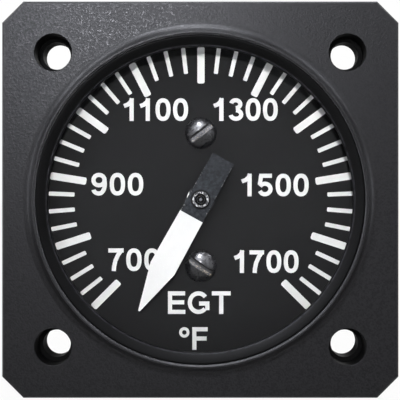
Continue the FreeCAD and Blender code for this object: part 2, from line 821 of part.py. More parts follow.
former = new_body("bobbin_front")
pad(former, "former_block", former_front, d.former_half, [rectangle(0, 0, former_side, former_side)])
break_edges(former, "former_corners", "Fillet", d.former_corner, along_y)
former_posts = [rectangle(x, z, d.former_post, d.former_post) for x, z in pin_places]
pad(former, "former_posts", movement_rear, former_front - movement_rear + d.former_corner, former_posts)
pad(former, "former_boss", former_front - d.former_boss_length, d.former_boss_length,
    circles=[(0, 0, d.former_boss_radius)])
pocket(former, "magnet_cavity", former_joint - d.cavity_half_depth, d.cavity_half_depth,
       circles=[(0, 0, cavity_radius)])
pocket(former, "former_bore", former_front, d.former_half, circles=[(0, 0, d.former_bore_radius)])
pocket(former, "jewel_seat", former_front - d.former_boss_length, d.former_boss_length,
       circles=[(0, 0, d.jewel_radius + d.press_gap)])
pocket(former, "pin_seats", movement_rear, d.pin_seat,
       circles=[(x, z, d.pin_radius + d.press_gap) for x, z in pin_places])

former_twin = doc.addObject("Part::Mirroring", "bobbin_rear")
former_twin.Source = former
former_twin.Normal = Vector(0, 1, 0)
former_twin.setExpression("Base.y", former_joint.text)
nodes.append(former_twin)

turn(new_body("rear_jewel"), "jewel", [
    (d.pivot_radius + d.running_gap, jewel_front),
    (d.jewel_radius, jewel_front),
    (d.jewel_radius, jewel_front + d.jewel_length),
    (0, jewel_front + d.jewel_length),
    (0, staff_shoulder + d.pivot_length + d.end_play),
    (d.pivot_radius + d.running_gap, staff_shoulder + d.pivot_length + d.end_play)])


# Windings: each is two loops of wire, one on either side of the staff

winding_width = winding_far - winding_near
winding_hole_half = former_side / 2 + d.winding_gap
winding_half = winding_hole_half + d.winding_build


def make_loop(name, role, front, rear):
    """One loop round the former, drawn on the plane that its wires run in."""
    body = new_body(name, kept=False)
    sketch = new_sketch(body, name + "_sketch", role, winding_near)
    near, far = front + d.winding_build, rear - d.winding_build
    outside = [(winding_half, front), (winding_half, rear), (-winding_half, rear), (-winding_half, front)]
    inside = [(winding_hole_half, near), (winding_hole_half, far),
              (-winding_hole_half, far), (-winding_hole_half, near)]
    for corners in (outside, inside):
        draw_outline(sketch, corners if role == "XY_Plane" else [(y, across) for across, y in corners])
    loop = body.newObject("PartDesign::Pad", name + "_pad")
    loop.Profile = sketch
    loop.setExpression("Length", winding_width.text)

    def is_corner(edge, half):
        box = edge.BoundBox
        low, high = (box.XMin, box.XMax) if role == "XY_Plane" else (box.ZMin, box.ZMax)
        thin = box.YLength < NEARLY_ZERO and high - low < NEARLY_ZERO
        return thin and abs(abs(low) - half.number) < NEARLY_ZERO

    break_edges(body, name + "_outer_round", "Fillet", d.winding_outer_round,
                lambda edge: is_corner(edge, winding_half))
    break_edges(body, name + "_inner_round", "Fillet", d.winding_inner_round,
                lambda edge: is_corner(edge, winding_hole_half))
    return body


loop_shift = -(winding_near + winding_far)
inner_loop = make_loop("inner_loop", "XY_Plane", inner_winding_front, inner_winding_rear)
group("inner_coil", [(inner_loop, 0, 0), (inner_loop, 0, loop_shift)])
outer_loop = make_loop("outer_loop", "YZ_Plane", outer_winding_front, outer_winding_rear)
group("outer_coil", [(outer_loop, 0, 0), (outer_loop, loop_shift, 0)])

pin_front = shield_floor - d.pin_seat
coil_pin = new_body("coil_pin", kept=False)
pad(coil_pin, "coil_pin_round", pin_front, board_rear - pin_front + d.pin_overrun,
    circles=[(0, 0, d.pin_radius)])
group("coil_pins", [(coil_pin, x, z) for x, z in pin_places])


# Magnetic shield: a drawn cup with a flange screwed to the movement plate

shield = new_body("shield_cup")
turn(shield, "shield_drawn", [
    (shield_radius - d.shield_wall, movement_rear),
    (shield_flange_radius, movement_rear),
    (shield_flange_radius, movement_rear + d.shield_wall),
    (shield_radius, movement_rear + d.shield_wall),
    (shield_radius, shield_rear),
    (0, shield_rear),
    (0, shield_floor),
    (shield_radius - d.shield_wall, shield_floor)])
pocket(shield, "pin_windows", shield_floor, d.shield_wall,
       circles=[(x, z, d.pin_radius + d.pin_clearance) for x, z in pin_places])
pocket(shield, "flange_holes", movement_rear, d.shield_wall,
       circles=[(x, z, d.shield_shank_radius + d.thread_gap) for x, z in shield_screw_places])

shield_screw = new_body("shield_screw", kept=False)
shield_seat = movement_rear + d.shield_wall
turn(shield_screw, "shield_screw_turned", [
    (0, movement_front),
    (d.shield_shank_radius, movement_front),
    (d.shield_shank_radius, shield_seat),
    (d.shield_head_radius, shield_seat),
    (d.shield_head_radius, shield_seat + d.shield_head_height),
    (0, shield_seat + d.shield_head_height)])
pocket(shield_screw, "shield_screw_slot", shield_seat + d.shield_head_height - d.small_slot_depth,
       d.small_slot_depth, [slot_across(d.shield_head_radius, d.small_slot_width)])
group("shield_screws", [(shield_screw, x, z) for x, z in shield_screw_places])


# Circuit board on three hexagonal pillars

board_pillar = new_body("board_pillar", kept=False)
pad(board_pillar, "pillar_neck", movement_front, d.movement_plate_thickness,
    circles=[(0, 0, d.pillar_neck_radius)])
pad(board_pillar, "pillar_hexagon", movement_rear, board_front - movement_rear, [hexagon(d.pillar_flats)])
pocket(board_pillar, "pillar_tap", board_front - d.pillar_tap_depth, d.pillar_tap_depth,
       circles=[(0, 0, d.board_shank_radius + d.thread_gap)])
group("board_pillars", [(board_pillar, x, z) for x, z in pillar_places])

board = new_body("circuit_board")
pad(board, "board_disc", board_front, d.board_thickness, circles=[(0, 0, board_radius)])
pocket(board, "board_holes", board_front, d.board_thickness,
       circles=[(x, z, d.board_shank_radius + d.hole_clearance) for x, z in pillar_places]
       + [(x, z, d.pin_radius + d.thread_gap) for x, z in pin_places]
       + [(x, z, d.stud_tail_radius + d.hole_clearance) for name, radius, x, z, flats in studs])

board_screw = new_body("board_screw", kept=False)
turn(board_screw, "board_screw_turned", [
    (0, board_front - d.board_shank_reach),
    (d.board_shank_radius, board_front - d.board_shank_reach),
    (d.board_shank_radius, board_rear),
    (d.board_head_radius, board_rear),
    (d.board_head_radius, board_rear + d.board_head_height),
    (0, board_rear + d.board_head_height)])
pocket(board_screw, "board_screw_slot", board_rear + d.board_head_height - d.rotor_slot_depth,
       d.rotor_slot_depth, [slot_across(d.board_head_radius, d.rotor_slot_width)])
group("board_screws", [(board_screw, x, z) for x, z in pillar_places])


# Chips, regulator and capacitors on the rear of the board

def make_chip(label, length, legs, x, z):
    """A moulded package that stands on two rows of legs."""
    body = place(new_body(label), x, z)
    chip_front = board_rear + d.chip_lift
    pad(body, label + "_package", chip_front, d.chip_height, [rectangle(0, 0, d.chip_width, length)])
    leg_x = (d.chip_width + d.leg_thickness) / 2
    leg_z = d.leg_pitch * ((legs - 1) / 2)
    first_legs = pad(body, label + "_legs", board_rear, d.leg_rise,
                     [rectangle(side, leg_z, d.leg_thickness, d.leg_width) for side in (-leg_x, leg_x)])
    rows = body.newObject("PartDesign::LinearPattern", label + "_rows")
    rows.Originals = [first_legs]
    rows.Direction = (origin_item(body, "Z_Axis"), [""])
    rows.Reversed = True
    rows.setExpression("Length", (leg_z * 2).text)
    rows.Occurrences = legs
    body.Tip = rows


make_chip("driver_chip", d.driver_length, DRIVER_LEGS, 0, 0)
amplifier_top = d.trimmer_z - d.trimmer_side / 2 - d.part_gap
make_chip("amplifier_chip", d.amplifier_length, AMPLIFIER_LEGS,
          -d.amplifier_left, amplifier_top - d.amplifier_length / 2)

regulator = place(new_body("voltage_regulator"), d.regulator_x, -d.regulator_drop)
regulator_front = board_rear + d.regulator_lift
pad(regulator, "regulator_round", regulator_front, d.regulator_height,
    circles=[(0, 0, d.regulator_radius)])
pocket(regulator, "regulator_face", regulator_front, d.regulator_height,
       [[(-d.regulator_radius, -d.regulator_radius), (d.regulator_radius, -d.regulator_radius),
         (d.regulator_radius, -d.regulator_flat), (-d.regulator_radius, -d.regulator_flat)]])
pad(regulator, "regulator_legs", board_rear, d.regulator_lift,
    [rectangle(x, 0, d.leg_width, d.leg_width) for x in (-d.regulator_leg_pitch, 0, d.regulator_leg_pitch)])

capacitor = new_body("capacitor", kept=False)
capacitor_rear = board_rear + d.capacitor_height
crimp = board_rear + d.crimp_height
turn(capacitor, "capacitor_can", [
    (0, board_rear),
    (d.capacitor_radius, board_rear),
    (d.capacitor_radius, crimp),
    (d.capacitor_radius - d.capacitor_crimp, crimp + d.capacitor_crimp),
    (d.capacitor_radius, crimp + d.capacitor_crimp * 2),
    (d.capacitor_radius, capacitor_rear - d.capacitor_crimp),
    (d.capacitor_radius - d.capacitor_crimp, capacitor_rear),
    (0, capacitor_rear)])
group("filter_capacitors", [(capacitor, x, d.capacitor_z) for x in (-d.capacitor_x, d.capacitor_x)])


# Two calibration trimmers: a square body and a slotted rotor that turns in it

def make_trimmer(name, x):
    trimmer_rear = board_rear + d.trimmer_height
    bore_front = trimmer_rear - d.trimmer_bore_depth
    body = place(new_body(name + "_body"), x, d.trimmer_z)
    pad(body, name + "_block", board_rear, d.trimmer_height,
        [rectangle(0, 0, d.trimmer_side, d.trimmer_side)])
    pocket(body, name + "_bore", bore_front, d.trimmer_bore_depth,
           circles=[(0, 0, d.rotor_radius + d.rotor_gap)])
    rotor = place(new_body(name + "_rotor"), x, d.trimmer_z)
    rotor_front = bore_front + d.rotor_floor_gap
    rotor_length = d.trimmer_bore_depth - d.rotor_floor_gap + d.rotor_proud
    pad(rotor, name + "_barrel", rotor_front, rotor_length, circles=[(0, 0, d.rotor_radius)])
    pocket(rotor, name + "_slot", trimmer_rear + d.rotor_proud - d.rotor_slot_depth, d.rotor_slot_depth,
           [slot_across(d.rotor_radius, d.rotor_slot_width)])


make_trimmer("zero_trimmer", -d.trimmer_x)
make_trimmer("span_trimmer", d.trimmer_x)


# Rear case: a drawn can whose stepped lip enters the bezel's socket

case = new_body("case_can")
turn(case, "can_drawn", [
    (lip_radius - d.lip_wall, movement_rear),
    (lip_radius, movement_rear),
    (lip_radius, spigot_rear),
    (spigot_radius, spigot_rear),
    (spigot_radius, case_rear),
    (0, case_rear),
    (0, case_inner),
    (case_inner_radius, case_inner),
    (case_inner_radius, spigot_rear + d.case_wall),
    (lip_radius - d.lip_wall, spigot_rear)])
break_edges(case, "can_corner", "Fillet", d.case_corner,
            lambda edge: at_height(edge, case_rear) and is_circle(edge, spigot_radius))
pocket(case, "back_holes", case_inner, d.case_back,
       circles=[(side, d.trimmer_z, d.trimmer_hole_radius) for side in (-d.trimmer_x, d.trimmer_x)]
       + [(x, z, radius + d.insulator_neck + d.press_gap) for name, radius, x, z, flats in studs])
cut_case_screw_holes(case, sunk=False)

case_screw = new_body("case_screw", kept=False)
turn(case_screw, "case_screw_turned", [
    (0, spigot_radius - d.case_screw_reach),
    (d.case_screw_radius, spigot_radius - d.case_screw_reach),
    (d.case_screw_radius, spigot_radius - d.case_screw_sink - d.case_screw_gap),
    (d.case_screw_head, spigot_radius - d.case_screw_gap),
    (0, spigot_radius - d.case_screw_gap)])
pocket(case_screw, "case_screw_slot", spigot_radius - d.case_screw_gap - d.small_slot_depth,
       d.small_slot_depth, [slot_across(d.case_screw_head, d.small_slot_width)])
case_screw_links = []
for index in range(THREE_SCREWS):
    link = doc.addObject("App::Link", f"case_screw_{index + 1}")
    link.LinkedObject = case_screw
    outward = Rotation(Vector(0, 1, 0), FULL_TURN / THREE_SCREWS * index)
    outward = outward * Rotation(Vector(1, 0, 0), RIGHT_ANGLE)
    link.Placement = Placement(Vector(), outward)
    link.setExpression("Placement.Base.y", case_screw_station.text)
    case_screw_links.append(link)
case_screws = doc.addObject("Part::Compound", "case_screws")
case_screws.Links = case_screw_links
nodes.append(case_screws)


# Terminal studs: a hexagonal flange outside, a nut inside, and a tail that is soldered to the board

def make_stud(name, radius, flats, kept):
    body = new_body(name, kept)
    tail_front = board_front - d.stud_tail_overrun
    thread_front = nut_front - d.stud_thread_overrun
    turn(body, name + "_turned", [
        (0, tail_front),
        (d.stud_tail_radius, tail_front),
        (d.stud_tail_radius, thread_front),
        (radius, thread_front),
        (radius, stud_rear - d.stud_end_break),
        (radius - d.stud_end_break, stud_rear),
        (0, stud_rear)])
    pad(body, name + "_flange", insulator_rear, d.stud_flange_thickness, [hexagon(flats)])
    return body


def make_insulator(name, radius):
    """A shouldered bush: its brim lies on the case's back and its neck passes through."""
    body = new_body(name, kept=False)
    bore = radius + d.insulator_gap
    turn(body, name + "_turned", [
        (bore, case_inner),
        (radius + d.insulator_neck, case_inner),
        (radius + d.insulator_neck, case_rear),
        (radius + d.insulator_brim, case_rear),
        (radius + d.insulator_brim, insulator_rear),
        (bore, insulator_rear)])
    return body


def make_washer(name, radius):
    body = new_body(name, kept=False)
    pad(body, name + "_ring", washer_front, d.washer_thickness,
        circles=[(0, 0, radius + d.washer_brim), (0, 0, radius + d.insulator_gap)])
    return body


def make_nut(name, radius, flats):
    body = new_body(name, kept=False)
    pad(body, name + "_hexagon", nut_front, d.nut_thickness, [hexagon(flats)],
        [(0, 0, radius + d.thread_gap)])
    return body


place(make_stud("alumel_stud", d.alumel_radius, d.alumel_flats, True), *studs[0][2:4])
place(make_stud("chromel_stud", d.chromel_radius, d.chromel_flats, True), *studs[1][2:4])
power_stud = make_stud("power_stud", d.power_radius, d.power_flats, False)
group("power_studs", [(power_stud, x, z) for name, radius, x, z, flats in studs[2:]])
insulators, washers, nuts = [], [], []
for name, radius, x, z, flats in studs:
    insulators.append((make_insulator(name + "_insulator", radius), x, z))
    washers.append((make_washer(name + "_washer", radius), x, z))
    nuts.append((make_nut(name + "_nut", radius, flats), x, z))
group("stud_insulators", insulators)
group("stud_washers", washers)
group("stud_nuts", nuts)


# Check every object, then write one file for each node

doc.recompute()
for item in doc.Objects:
    if "Invalid" in item.State or "Error" in item.State:
        raise RuntimeError(f"{item.Label} failed: {item.State}")
for item in nodes:
    if item.Shape.isNull() or not item.Shape.isValid() or not item.Shape.Solids:
        raise RuntimeError(f"{item.Label} has no valid solid")

os.makedirs("parts", exist_ok=True)
for item in nodes:
    item.Shape.exportStep(f"parts/{item.Label}.step")
    print(f"{item.Label}: {len(item.Shape.Solids)} solids, {item.Shape.Volume:.2f} mm3")
print(f"{len(nodes)} nodes")
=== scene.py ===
# %% [markdown]
# # Exhaust gas temperature gauge
#
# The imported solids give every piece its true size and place. This lesson dresses them: it adds the
# paint on the dial, the threads and the fine edges, and gives each piece the finish of the real one.
# All lengths are in metres, +Z is up, and the dial faces -Y, towards the camera.

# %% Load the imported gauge
import json
import math
import bmesh
import bpy
import numpy as np
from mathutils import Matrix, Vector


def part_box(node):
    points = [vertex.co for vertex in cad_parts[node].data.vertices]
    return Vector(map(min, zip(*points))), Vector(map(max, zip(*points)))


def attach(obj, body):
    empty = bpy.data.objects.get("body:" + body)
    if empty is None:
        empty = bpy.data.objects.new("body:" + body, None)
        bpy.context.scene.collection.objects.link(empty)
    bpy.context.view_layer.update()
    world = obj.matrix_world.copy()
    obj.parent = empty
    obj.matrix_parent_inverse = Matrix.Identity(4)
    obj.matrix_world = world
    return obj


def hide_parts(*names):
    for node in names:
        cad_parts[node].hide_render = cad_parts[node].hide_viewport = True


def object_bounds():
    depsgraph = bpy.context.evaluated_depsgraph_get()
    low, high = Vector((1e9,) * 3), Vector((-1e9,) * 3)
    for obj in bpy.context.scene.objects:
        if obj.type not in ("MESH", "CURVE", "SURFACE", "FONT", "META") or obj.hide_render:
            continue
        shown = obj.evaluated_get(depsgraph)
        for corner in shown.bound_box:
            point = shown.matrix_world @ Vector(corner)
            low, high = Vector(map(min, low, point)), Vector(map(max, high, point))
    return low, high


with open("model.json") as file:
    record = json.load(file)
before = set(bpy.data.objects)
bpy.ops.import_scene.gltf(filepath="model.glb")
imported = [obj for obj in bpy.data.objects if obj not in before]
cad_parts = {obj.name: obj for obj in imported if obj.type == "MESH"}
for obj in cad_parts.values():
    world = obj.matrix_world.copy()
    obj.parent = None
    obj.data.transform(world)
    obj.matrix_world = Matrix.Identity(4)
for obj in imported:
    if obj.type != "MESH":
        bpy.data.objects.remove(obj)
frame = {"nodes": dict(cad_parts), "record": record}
cad_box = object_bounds()
MM = 0.001
print("cad box", [[round(value / MM, 2) for value in corner] for corner in cad_box])

# %% [markdown]
# ## The camera
#
# The photograph looks straight at the dial, from close by, so the hole walls show on their outer
# sides. A camera that looks along +Y keeps the square plate square, and a small shift centres it.
# The alternative, turning the camera a little, would make the plate's edges run together.

# %% Set the camera
PHOTO_WIDTH = 400
PLATE_SCALE = 0.1599 * MM          # metres per photograph pixel on the front plate
PLATE_CENTRE = (200.3, 199.7)      # the plate's middle in the photograph
VANISHING = (215, 195)             # the pixel that the camera looks at squarely
CAMERA_DISTANCE = 130 * MM
SENSOR = 36

plate_front = -6.35 * MM
camera_data = bpy.data.cameras.new("camera")
camera_data.sensor_width = SENSOR
camera_data.lens = SENSOR * CAMERA_DISTANCE / (PHOTO_WIDTH * PLATE_SCALE)
camera_data.shift_x = (PHOTO_WIDTH / 2 - VANISHING[0]) / PHOTO_WIDTH
camera_data.shift_y = (VANISHING[1] - PHOTO_WIDTH / 2) / PHOTO_WIDTH
camera_data.clip_start = 0.005
camera = bpy.data.objects.new("camera", camera_data)
camera.location = ((VANISHING[0] - PLATE_CENTRE[0]) * PLATE_SCALE,
                   plate_front - CAMERA_DISTANCE,
                   -(VANISHING[1] - PLATE_CENTRE[1]) * PLATE_SCALE)
camera.rotation_euler = (math.pi / 2, 0, 0)
bpy.context.collection.objects.link(camera)
bpy.context.scene.camera = camera
print("lens", round(camera_data.lens, 1), "mm, shift", camera_data.shift_x, camera_data.shift_y)

# %% [markdown]
# ## Arithmetic for finishes
#
# A finish is a small graph of nodes. Written as nodes and links it is hard to read, so one class
# stands for a node's output and turns `1 - mask` or `grain * 0.2` into the Math node that does it.

# %% A node's output that can be added and multiplied
class Wire:
    """One output socket. Arithmetic between it and numbers or other outputs adds Math nodes."""

    def __init__(self, finish, socket):
        self.finish = finish
        self.socket = socket

    def math(self, operation, *others):
        return self.finish.node("ShaderNodeMath", {"operation": operation}, [self, *others])

    def __add__(self, other):
        return self.math("ADD", other)

    def __mul__(self, other):
        return self.math("MULTIPLY", other)

    def __sub__(self, other):
        return self.math("SUBTRACT", other)

    def __rsub__(self, other):
        return self.finish.node("ShaderNodeMath", {"operation": "SUBTRACT"}, [other, self])

    def __truediv__(self, other):
        return self.math("DIVIDE", other)

    __radd__ = __add__
    __rmul__ = __mul__

    def step(self, low, high):
        """0 below low, 1 above high, and straight between them."""
        return self.finish.node("ShaderNodeMapRange", {"clamp": True}, {
            "Value": self, "From Min": low, "From Max": high}, "Result")


class Graph:
    """A tree of shader nodes, of a material or of the world."""

    def __init__(self, owner):
        self.owner = owner
        owner.use_nodes = True
        self.tree = owner.node_tree
        self.tree.nodes.clear()

    def node(self, kind, settings=None, inputs=(), output=0):
        """Add a node: its settings first, then a value or a Wire for each input; gives one output."""
        node = self.tree.nodes.new(kind)
        for key, value in (settings or {}).items():
            setattr(node, key, value)
        pairs = inputs.items() if isinstance(inputs, dict) else enumerate(inputs)
        for key, value in pairs:
            socket = node.inputs[key]
            if isinstance(value, Wire):
                self.tree.links.new(value.socket, socket)
            elif socket.type == "RGBA":
                socket.default_value = (*value, 1)
            else:
                socket.default_value = value
        return Wire(self, node.outputs[output])

    def outputs(self, kind, names, inputs=()):
        """Several outputs of one node."""
        first = self.node(kind, inputs=inputs)
        return [Wire(self, first.socket.node.outputs[name]) for name in names]

    def sees_background(self):
        """1 for a ray that comes straight from the camera, or by a mirror or a window; else 0."""
        rays = self.outputs("ShaderNodeLightPath", ("Is Camera Ray", "Is Glossy Ray", "Is Transmission Ray"))
        return (rays[0] + rays[1] + rays[2]).step(0, 1)

    def done(self, shader, kind="ShaderNodeOutputMaterial"):
        """Close the graph with its output node and give the material or the world."""
        sink = self.tree.nodes.new(kind)
        self.tree.links.new(shader.socket, sink.inputs["Surface"])
        return self.owner


class Finish(Graph):
    """A material under construction."""

    def __init__(self, name):
        super().__init__(bpy.data.materials.new(name))

    def places(self):
        return self.node("ShaderNodeTexCoord", output="Object")

    def axes(self):
        """The x, y and z of each point of the piece, in metres."""
        return self.outputs("ShaderNodeSeparateXYZ", "XYZ", [self.places()])

    def radius(self):
        """The distance of each point from the gauge's axis."""
        x, y, z = self.axes()
        return (x * x + z * z).math("SQRT")

    def noise(self, size, detail=2.0, stretch=(1, 1, 1)):
        """Cloudy values from 0 to 1 whose spots are about this many metres wide."""
        places = self.node("ShaderNodeMapping", inputs={"Vector": self.places(), "Scale": stretch})
        return self.node("ShaderNodeTexNoise", inputs={
            "Vector": places, "Scale": 1 / size, "Detail": detail}, output="Fac")

    def between(self, low, high, factor):
        """A colour that goes from low to high as the factor goes from 0 to 1."""
        return self.node("ShaderNodeMix", {"data_type": "RGBA"}, {0: factor, 6: low, 7: high}, 2)

    def bump(self, height, depth, under=None):
        """Relief this many metres deep where the height goes from 0 to 1."""
        inputs = {"Height": height, "Distance": depth, "Strength": 1.0}
        if under is not None:
            inputs["Normal"] = under
        return self.node("ShaderNodeBump", inputs=inputs, output="Normal")

    def surface(self, colour, roughness, normal=None, **constants):
        """Finish with the Principled shader; constants are its other sockets by name."""
        inputs = {"Base Color": colour, "Roughness": roughness}
        if normal is not None:
            inputs["Normal"] = normal
        inputs.update({name.replace("_", " "): value for name, value in constants.items()})
        return self.node("ShaderNodeBsdfPrincipled", inputs=inputs, output="BSDF")


# %% [markdown]
# ## Black finishes
#
# Five different blacks meet on the front: sand-textured moulding, satin enamel on the ring, matt
# dial paint, glossy oxide on the screws and worn paint on the pointer's tail. They differ in
# roughness and in the size of their grain much more than in colour.

# %% Black mouldings and enamel
HOLE_MIDDLE = 23.57 * MM               # the four holes lie this far out along x and along z
RIM_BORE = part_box("retaining_ring")[1][0]


def moulded_black():
    """Moulded black with a sand texture: two sizes of grain, and glints on the sharpest grains.

    The rim's bore is a lighter grey than the face.
    The holes are painted shade: nearly black, with no grain and no sheen.
    counterbore's radius of a hole's axis: both offsets are squared, added and rooted.
    """
    finish = Finish("bezel_black")
    x, y, z = finish.axes()
    grains = finish.noise(0.26 * MM, 2) * 0.75 + finish.noise(0.8 * MM, 2) * 0.25
    colour = finish.between((0.0045, 0.0045, 0.005), (0.0175, 0.017, 0.0185), grains.step(0.40, 0.66))
    # the rim's bore is a lighter grey than the face
    colour = finish.between((0.055, 0.055, 0.058), colour,
                            finish.radius().step(RIM_BORE + 0.02 * MM, RIM_BORE + 0.1 * MM))
    roughness = 0.40 - grains.step(0.52, 0.66) * 0.20
    sandy = finish.surface(colour, roughness, finish.bump(grains, 0.045 * MM), Specular_IOR_Level=0.08)
    offsets = [offset.math("ABSOLUTE") - HOLE_MIDDLE for offset in (x, z)]
    outside = (offsets[0] * offsets[0] + offsets[1] * offsets[1]).math("SQRT").step(3.0 * MM, 3.04 * MM)
    # painted shade: the holes' surfaces are nearly black and have no sheen
    hole_painted_shade = finish.surface((0.003, 0.003, 0.003), 0.6, Specular_IOR_Level=0.02)
    return finish.done(finish.node("ShaderNodeMixShader", inputs=[outside, hole_painted_shade, sandy]))


def satin_enamel(name, dark, pale, sheen, specular=0.5, edge=None):
    """Sprayed enamel: nearly even, with a faint orange peel.

    The edge, if there is one, is a radius from the gauge's axis where a broken line of painted highlight is laid
    on.
    """
    finish = Finish(name)
    peel = finish.noise(0.5 * MM, 2)
    colour = finish.between(dark, pale, finish.noise(6 * MM, 3))
    if edge:
        # painted highlight: a paler broken line along the edge radius, standing for the light on the ring's inner
        # edge
        painted_edge_highlight = (1 - (finish.radius() - edge).math("ABSOLUTE") / (0.22 * MM)).step(0.1, 0.8)
        colour = finish.between(colour, (0.021, 0.021, 0.024), painted_edge_highlight * finish.noise(0.7 * MM).step(0.3, 0.6))
    return finish.done(finish.surface(
        colour, sheen + finish.noise(2.5 * MM) * 0.12, finish.bump(peel, 0.0015 * MM),
        Specular_IOR_Level=specular))


# %% Screws, pointer and hub
def oxide_black(name, worn=False):
    """Glossy black oxide on steel. A piece's own point attribute, 0 to 1, shows paler metal in patches: partly
    real rubbing and partly painted highlight.
    """
    finish = Finish(name)
    marks = finish.noise(0.25 * MM, 2, (1, 0.15, 1))
    colour = finish.between((0.006, 0.006, 0.007), (0.012, 0.012, 0.014), marks)
    bare_with_painted_light = 0.0
    if worn:
        wear_with_painted_light = finish.node("ShaderNodeAttribute", {"attribute_name": "wear_with_painted_light"}, output="Fac")
        # paler metal where the attribute is high: partly real rubbing, partly painted highlight
        bare_with_painted_light = (wear_with_painted_light + finish.noise(0.18 * MM, 4) * 1.3 - 0.65).step(0.35, 0.75) * wear_with_painted_light.step(0.02, 0.2)
        bare_metal_and_highlight_tint = finish.between((0.016, 0.016, 0.018), (0.27, 0.22, 0.15),
                                    finish.noise(0.28 * MM, 3).step(0.5, 0.72))
        colour = finish.between(colour, bare_metal_and_highlight_tint, bare_with_painted_light)
    return finish.done(finish.surface(
        colour, 0.25 + marks * 0.06 + bare_with_painted_light * 0.27, finish.bump(marks, 0.0004 * MM),
        Specular_IOR_Level=0.42))


REST_ANGLE = math.radians(180 + 29)    # the pointer's rest, clockwise from the top
BLADE_START = 3.15 * MM
LANCE_HALF = 1.97 * MM                 # half the width of the tail


def pointer_paint():
    """White paint on the blade and matt black on the tail, parted straight across.

    Pale specks along the tail's two sides are partly paint scuffed through and partly painted highlight where the
    edges catch light. A ring of painted shade round the hub stands for the groove where the bush is staked in.
    """
    finish = Finish("pointer_paint")
    x, y, z = finish.axes()
    along = x * math.sin(REST_ANGLE) + z * math.cos(REST_ANGLE)
    across = (x * math.cos(REST_ANGLE) - z * math.sin(REST_ANGLE)).math("ABSOLUTE")
    white = along.step(BLADE_START - 0.02 * MM, BLADE_START + 0.02 * MM)
    scuffs = finish.noise(0.45 * MM, 4)
    tail = finish.between((0.010, 0.0115, 0.014), (0.030, 0.0345, 0.040), scuffs.step(0.35, 0.75))
    rim = across.step(LANCE_HALF - 0.35 * MM, LANCE_HALF)
    # pale specks on the edges: partly paint scuffed through, partly painted highlight
    worn = (rim * 0.3 + finish.noise(0.3 * MM, 3)).step(0.84, 0.94)
    tail = finish.between(tail, (0.16, 0.16, 0.155), worn)
    # painted shade: a near-black ring round the hub for the staking groove
    tail = finish.between((0.003, 0.003, 0.003), tail, finish.radius().step(1.55 * MM, 1.75 * MM))
    blade = finish.between((0.88, 0.88, 0.87), (0.93, 0.93, 0.92), finish.noise(1.5 * MM))
    return finish.done(finish.surface(
        finish.between(tail, blade, white), 0.42 + scuffs * 0.25, finish.bump(scuffs, 0.0008 * MM),
        Specular_IOR_Level=0.07))


def hub_metal():
    """Blackened metal of the hub and the staff: its radius tells how it looks.

    Painted highlight: bright patches between two radii on the front of the bush, a paler end of the staff, and a
    bright left side of the flange. Painted shade: the recess inside the bush is nearly black.
    """
    finish = Finish("hub_dark")
    x, y, z = finish.axes()
    radius = finish.radius()
    marks = finish.noise(0.22 * MM, 3)
    bush = radius.step(0.96 * MM, 1.02 * MM) * (1 - radius.step(1.30 * MM, 1.36 * MM))
    # painted highlight mask: the left side only, where light falls
    flange = (0 - x).step(1.85 * MM, 1.95 * MM)
    # painted shade: nearly black inside the bush's recess
    colour = finish.between((0.004, 0.004, 0.004), (0.02, 0.02, 0.021), radius.step(0.95 * MM, 1 * MM))
    # painted highlight: a paler end of the staff
    colour = finish.between((0.05, 0.05, 0.052), colour, radius.step(0.2 * MM, 0.28 * MM))
    # painted highlight: bright patches on the front of the bush
    colour = finish.between(colour, (0.24, 0.24, 0.23), bush * marks.step(0.48, 0.62))
    colour = finish.between(colour, (0.30, 0.30, 0.28), flange)
    return finish.done(finish.surface(
        colour, 0.3 + marks * 0.15, finish.bump(marks, 0.002 * MM), Metallic=1.0))


# %% White ink and glass
def printed_white():
    """Screen-printed white, dense and matt."""
    finish = Finish("printed_white")
    cloud = finish.noise(0.8 * MM, 3)
    return finish.done(finish.surface(
        finish.between((0.88, 0.88, 0.87), (0.94, 0.94, 0.93), cloud), 0.6,
        finish.bump(finish.noise(0.1 * MM), 0.0005 * MM), Specular_IOR_Level=0.1))


def clear_glass():
    """Flat coated glass: clear straight on, and mirror-like towards a glancing view.

    The mirror's share is the fifth power of one minus the cosine of the view's slant. It is nothing
    straight on, where the coating works, and the same on both faces of the pane.
    """
    finish = Finish("window_glass")
    clear = finish.node("ShaderNodeBsdfTransparent", inputs={"Color": (0.985, 0.985, 0.985)})
    mirror = finish.surface((0.95, 0.97, 0.97), 0.03, Metallic=1.0)
    slant = finish.node("ShaderNodeLayerWeight", inputs={"Blend": 0.5}, output="Facing")
    return finish.done(finish.node("ShaderNodeMixShader", inputs=[slant.math("POWER", 5), clear, mirror]))


# %% [markdown]
# ## Metals and plastics behind the dial
#
# Most hidden pieces are turned, drawn, moulded or cut from sheet. What tells them apart is the
# direction of their marks, so one recipe takes a stretch that draws the noise out along the marks.

# %% Finishes for metal and moulded pieces
def metal(name, dark, pale, roughness, stretch, size=0.4 * MM, relief=0.006 * MM):
    """Bare metal with tool marks drawn out along the axis whose stretch is smallest."""
    finish = Finish(name)
    marks = finish.noise(size, 3, stretch)
    colour = finish.between(dark, pale, marks * 0.7 + finish.noise(5 * MM) * 0.3)
    return finish.done(finish.surface(
        colour, roughness + marks * 0.15, finish.bump(marks, relief), Metallic=1.0))


def moulded(name, dark, pale, roughness, size=0.5 * MM, relief=0.012 * MM):
    """Moulded or laminated insulation with a slight mottle."""
    finish = Finish(name)
    mottle = finish.noise(size, 3)
    return finish.done(finish.surface(
        finish.between(dark, pale, mottle * 0.6 + finish.noise(4 * MM) * 0.4),
        roughness + mottle * 0.12, finish.bump(mottle, relief)))


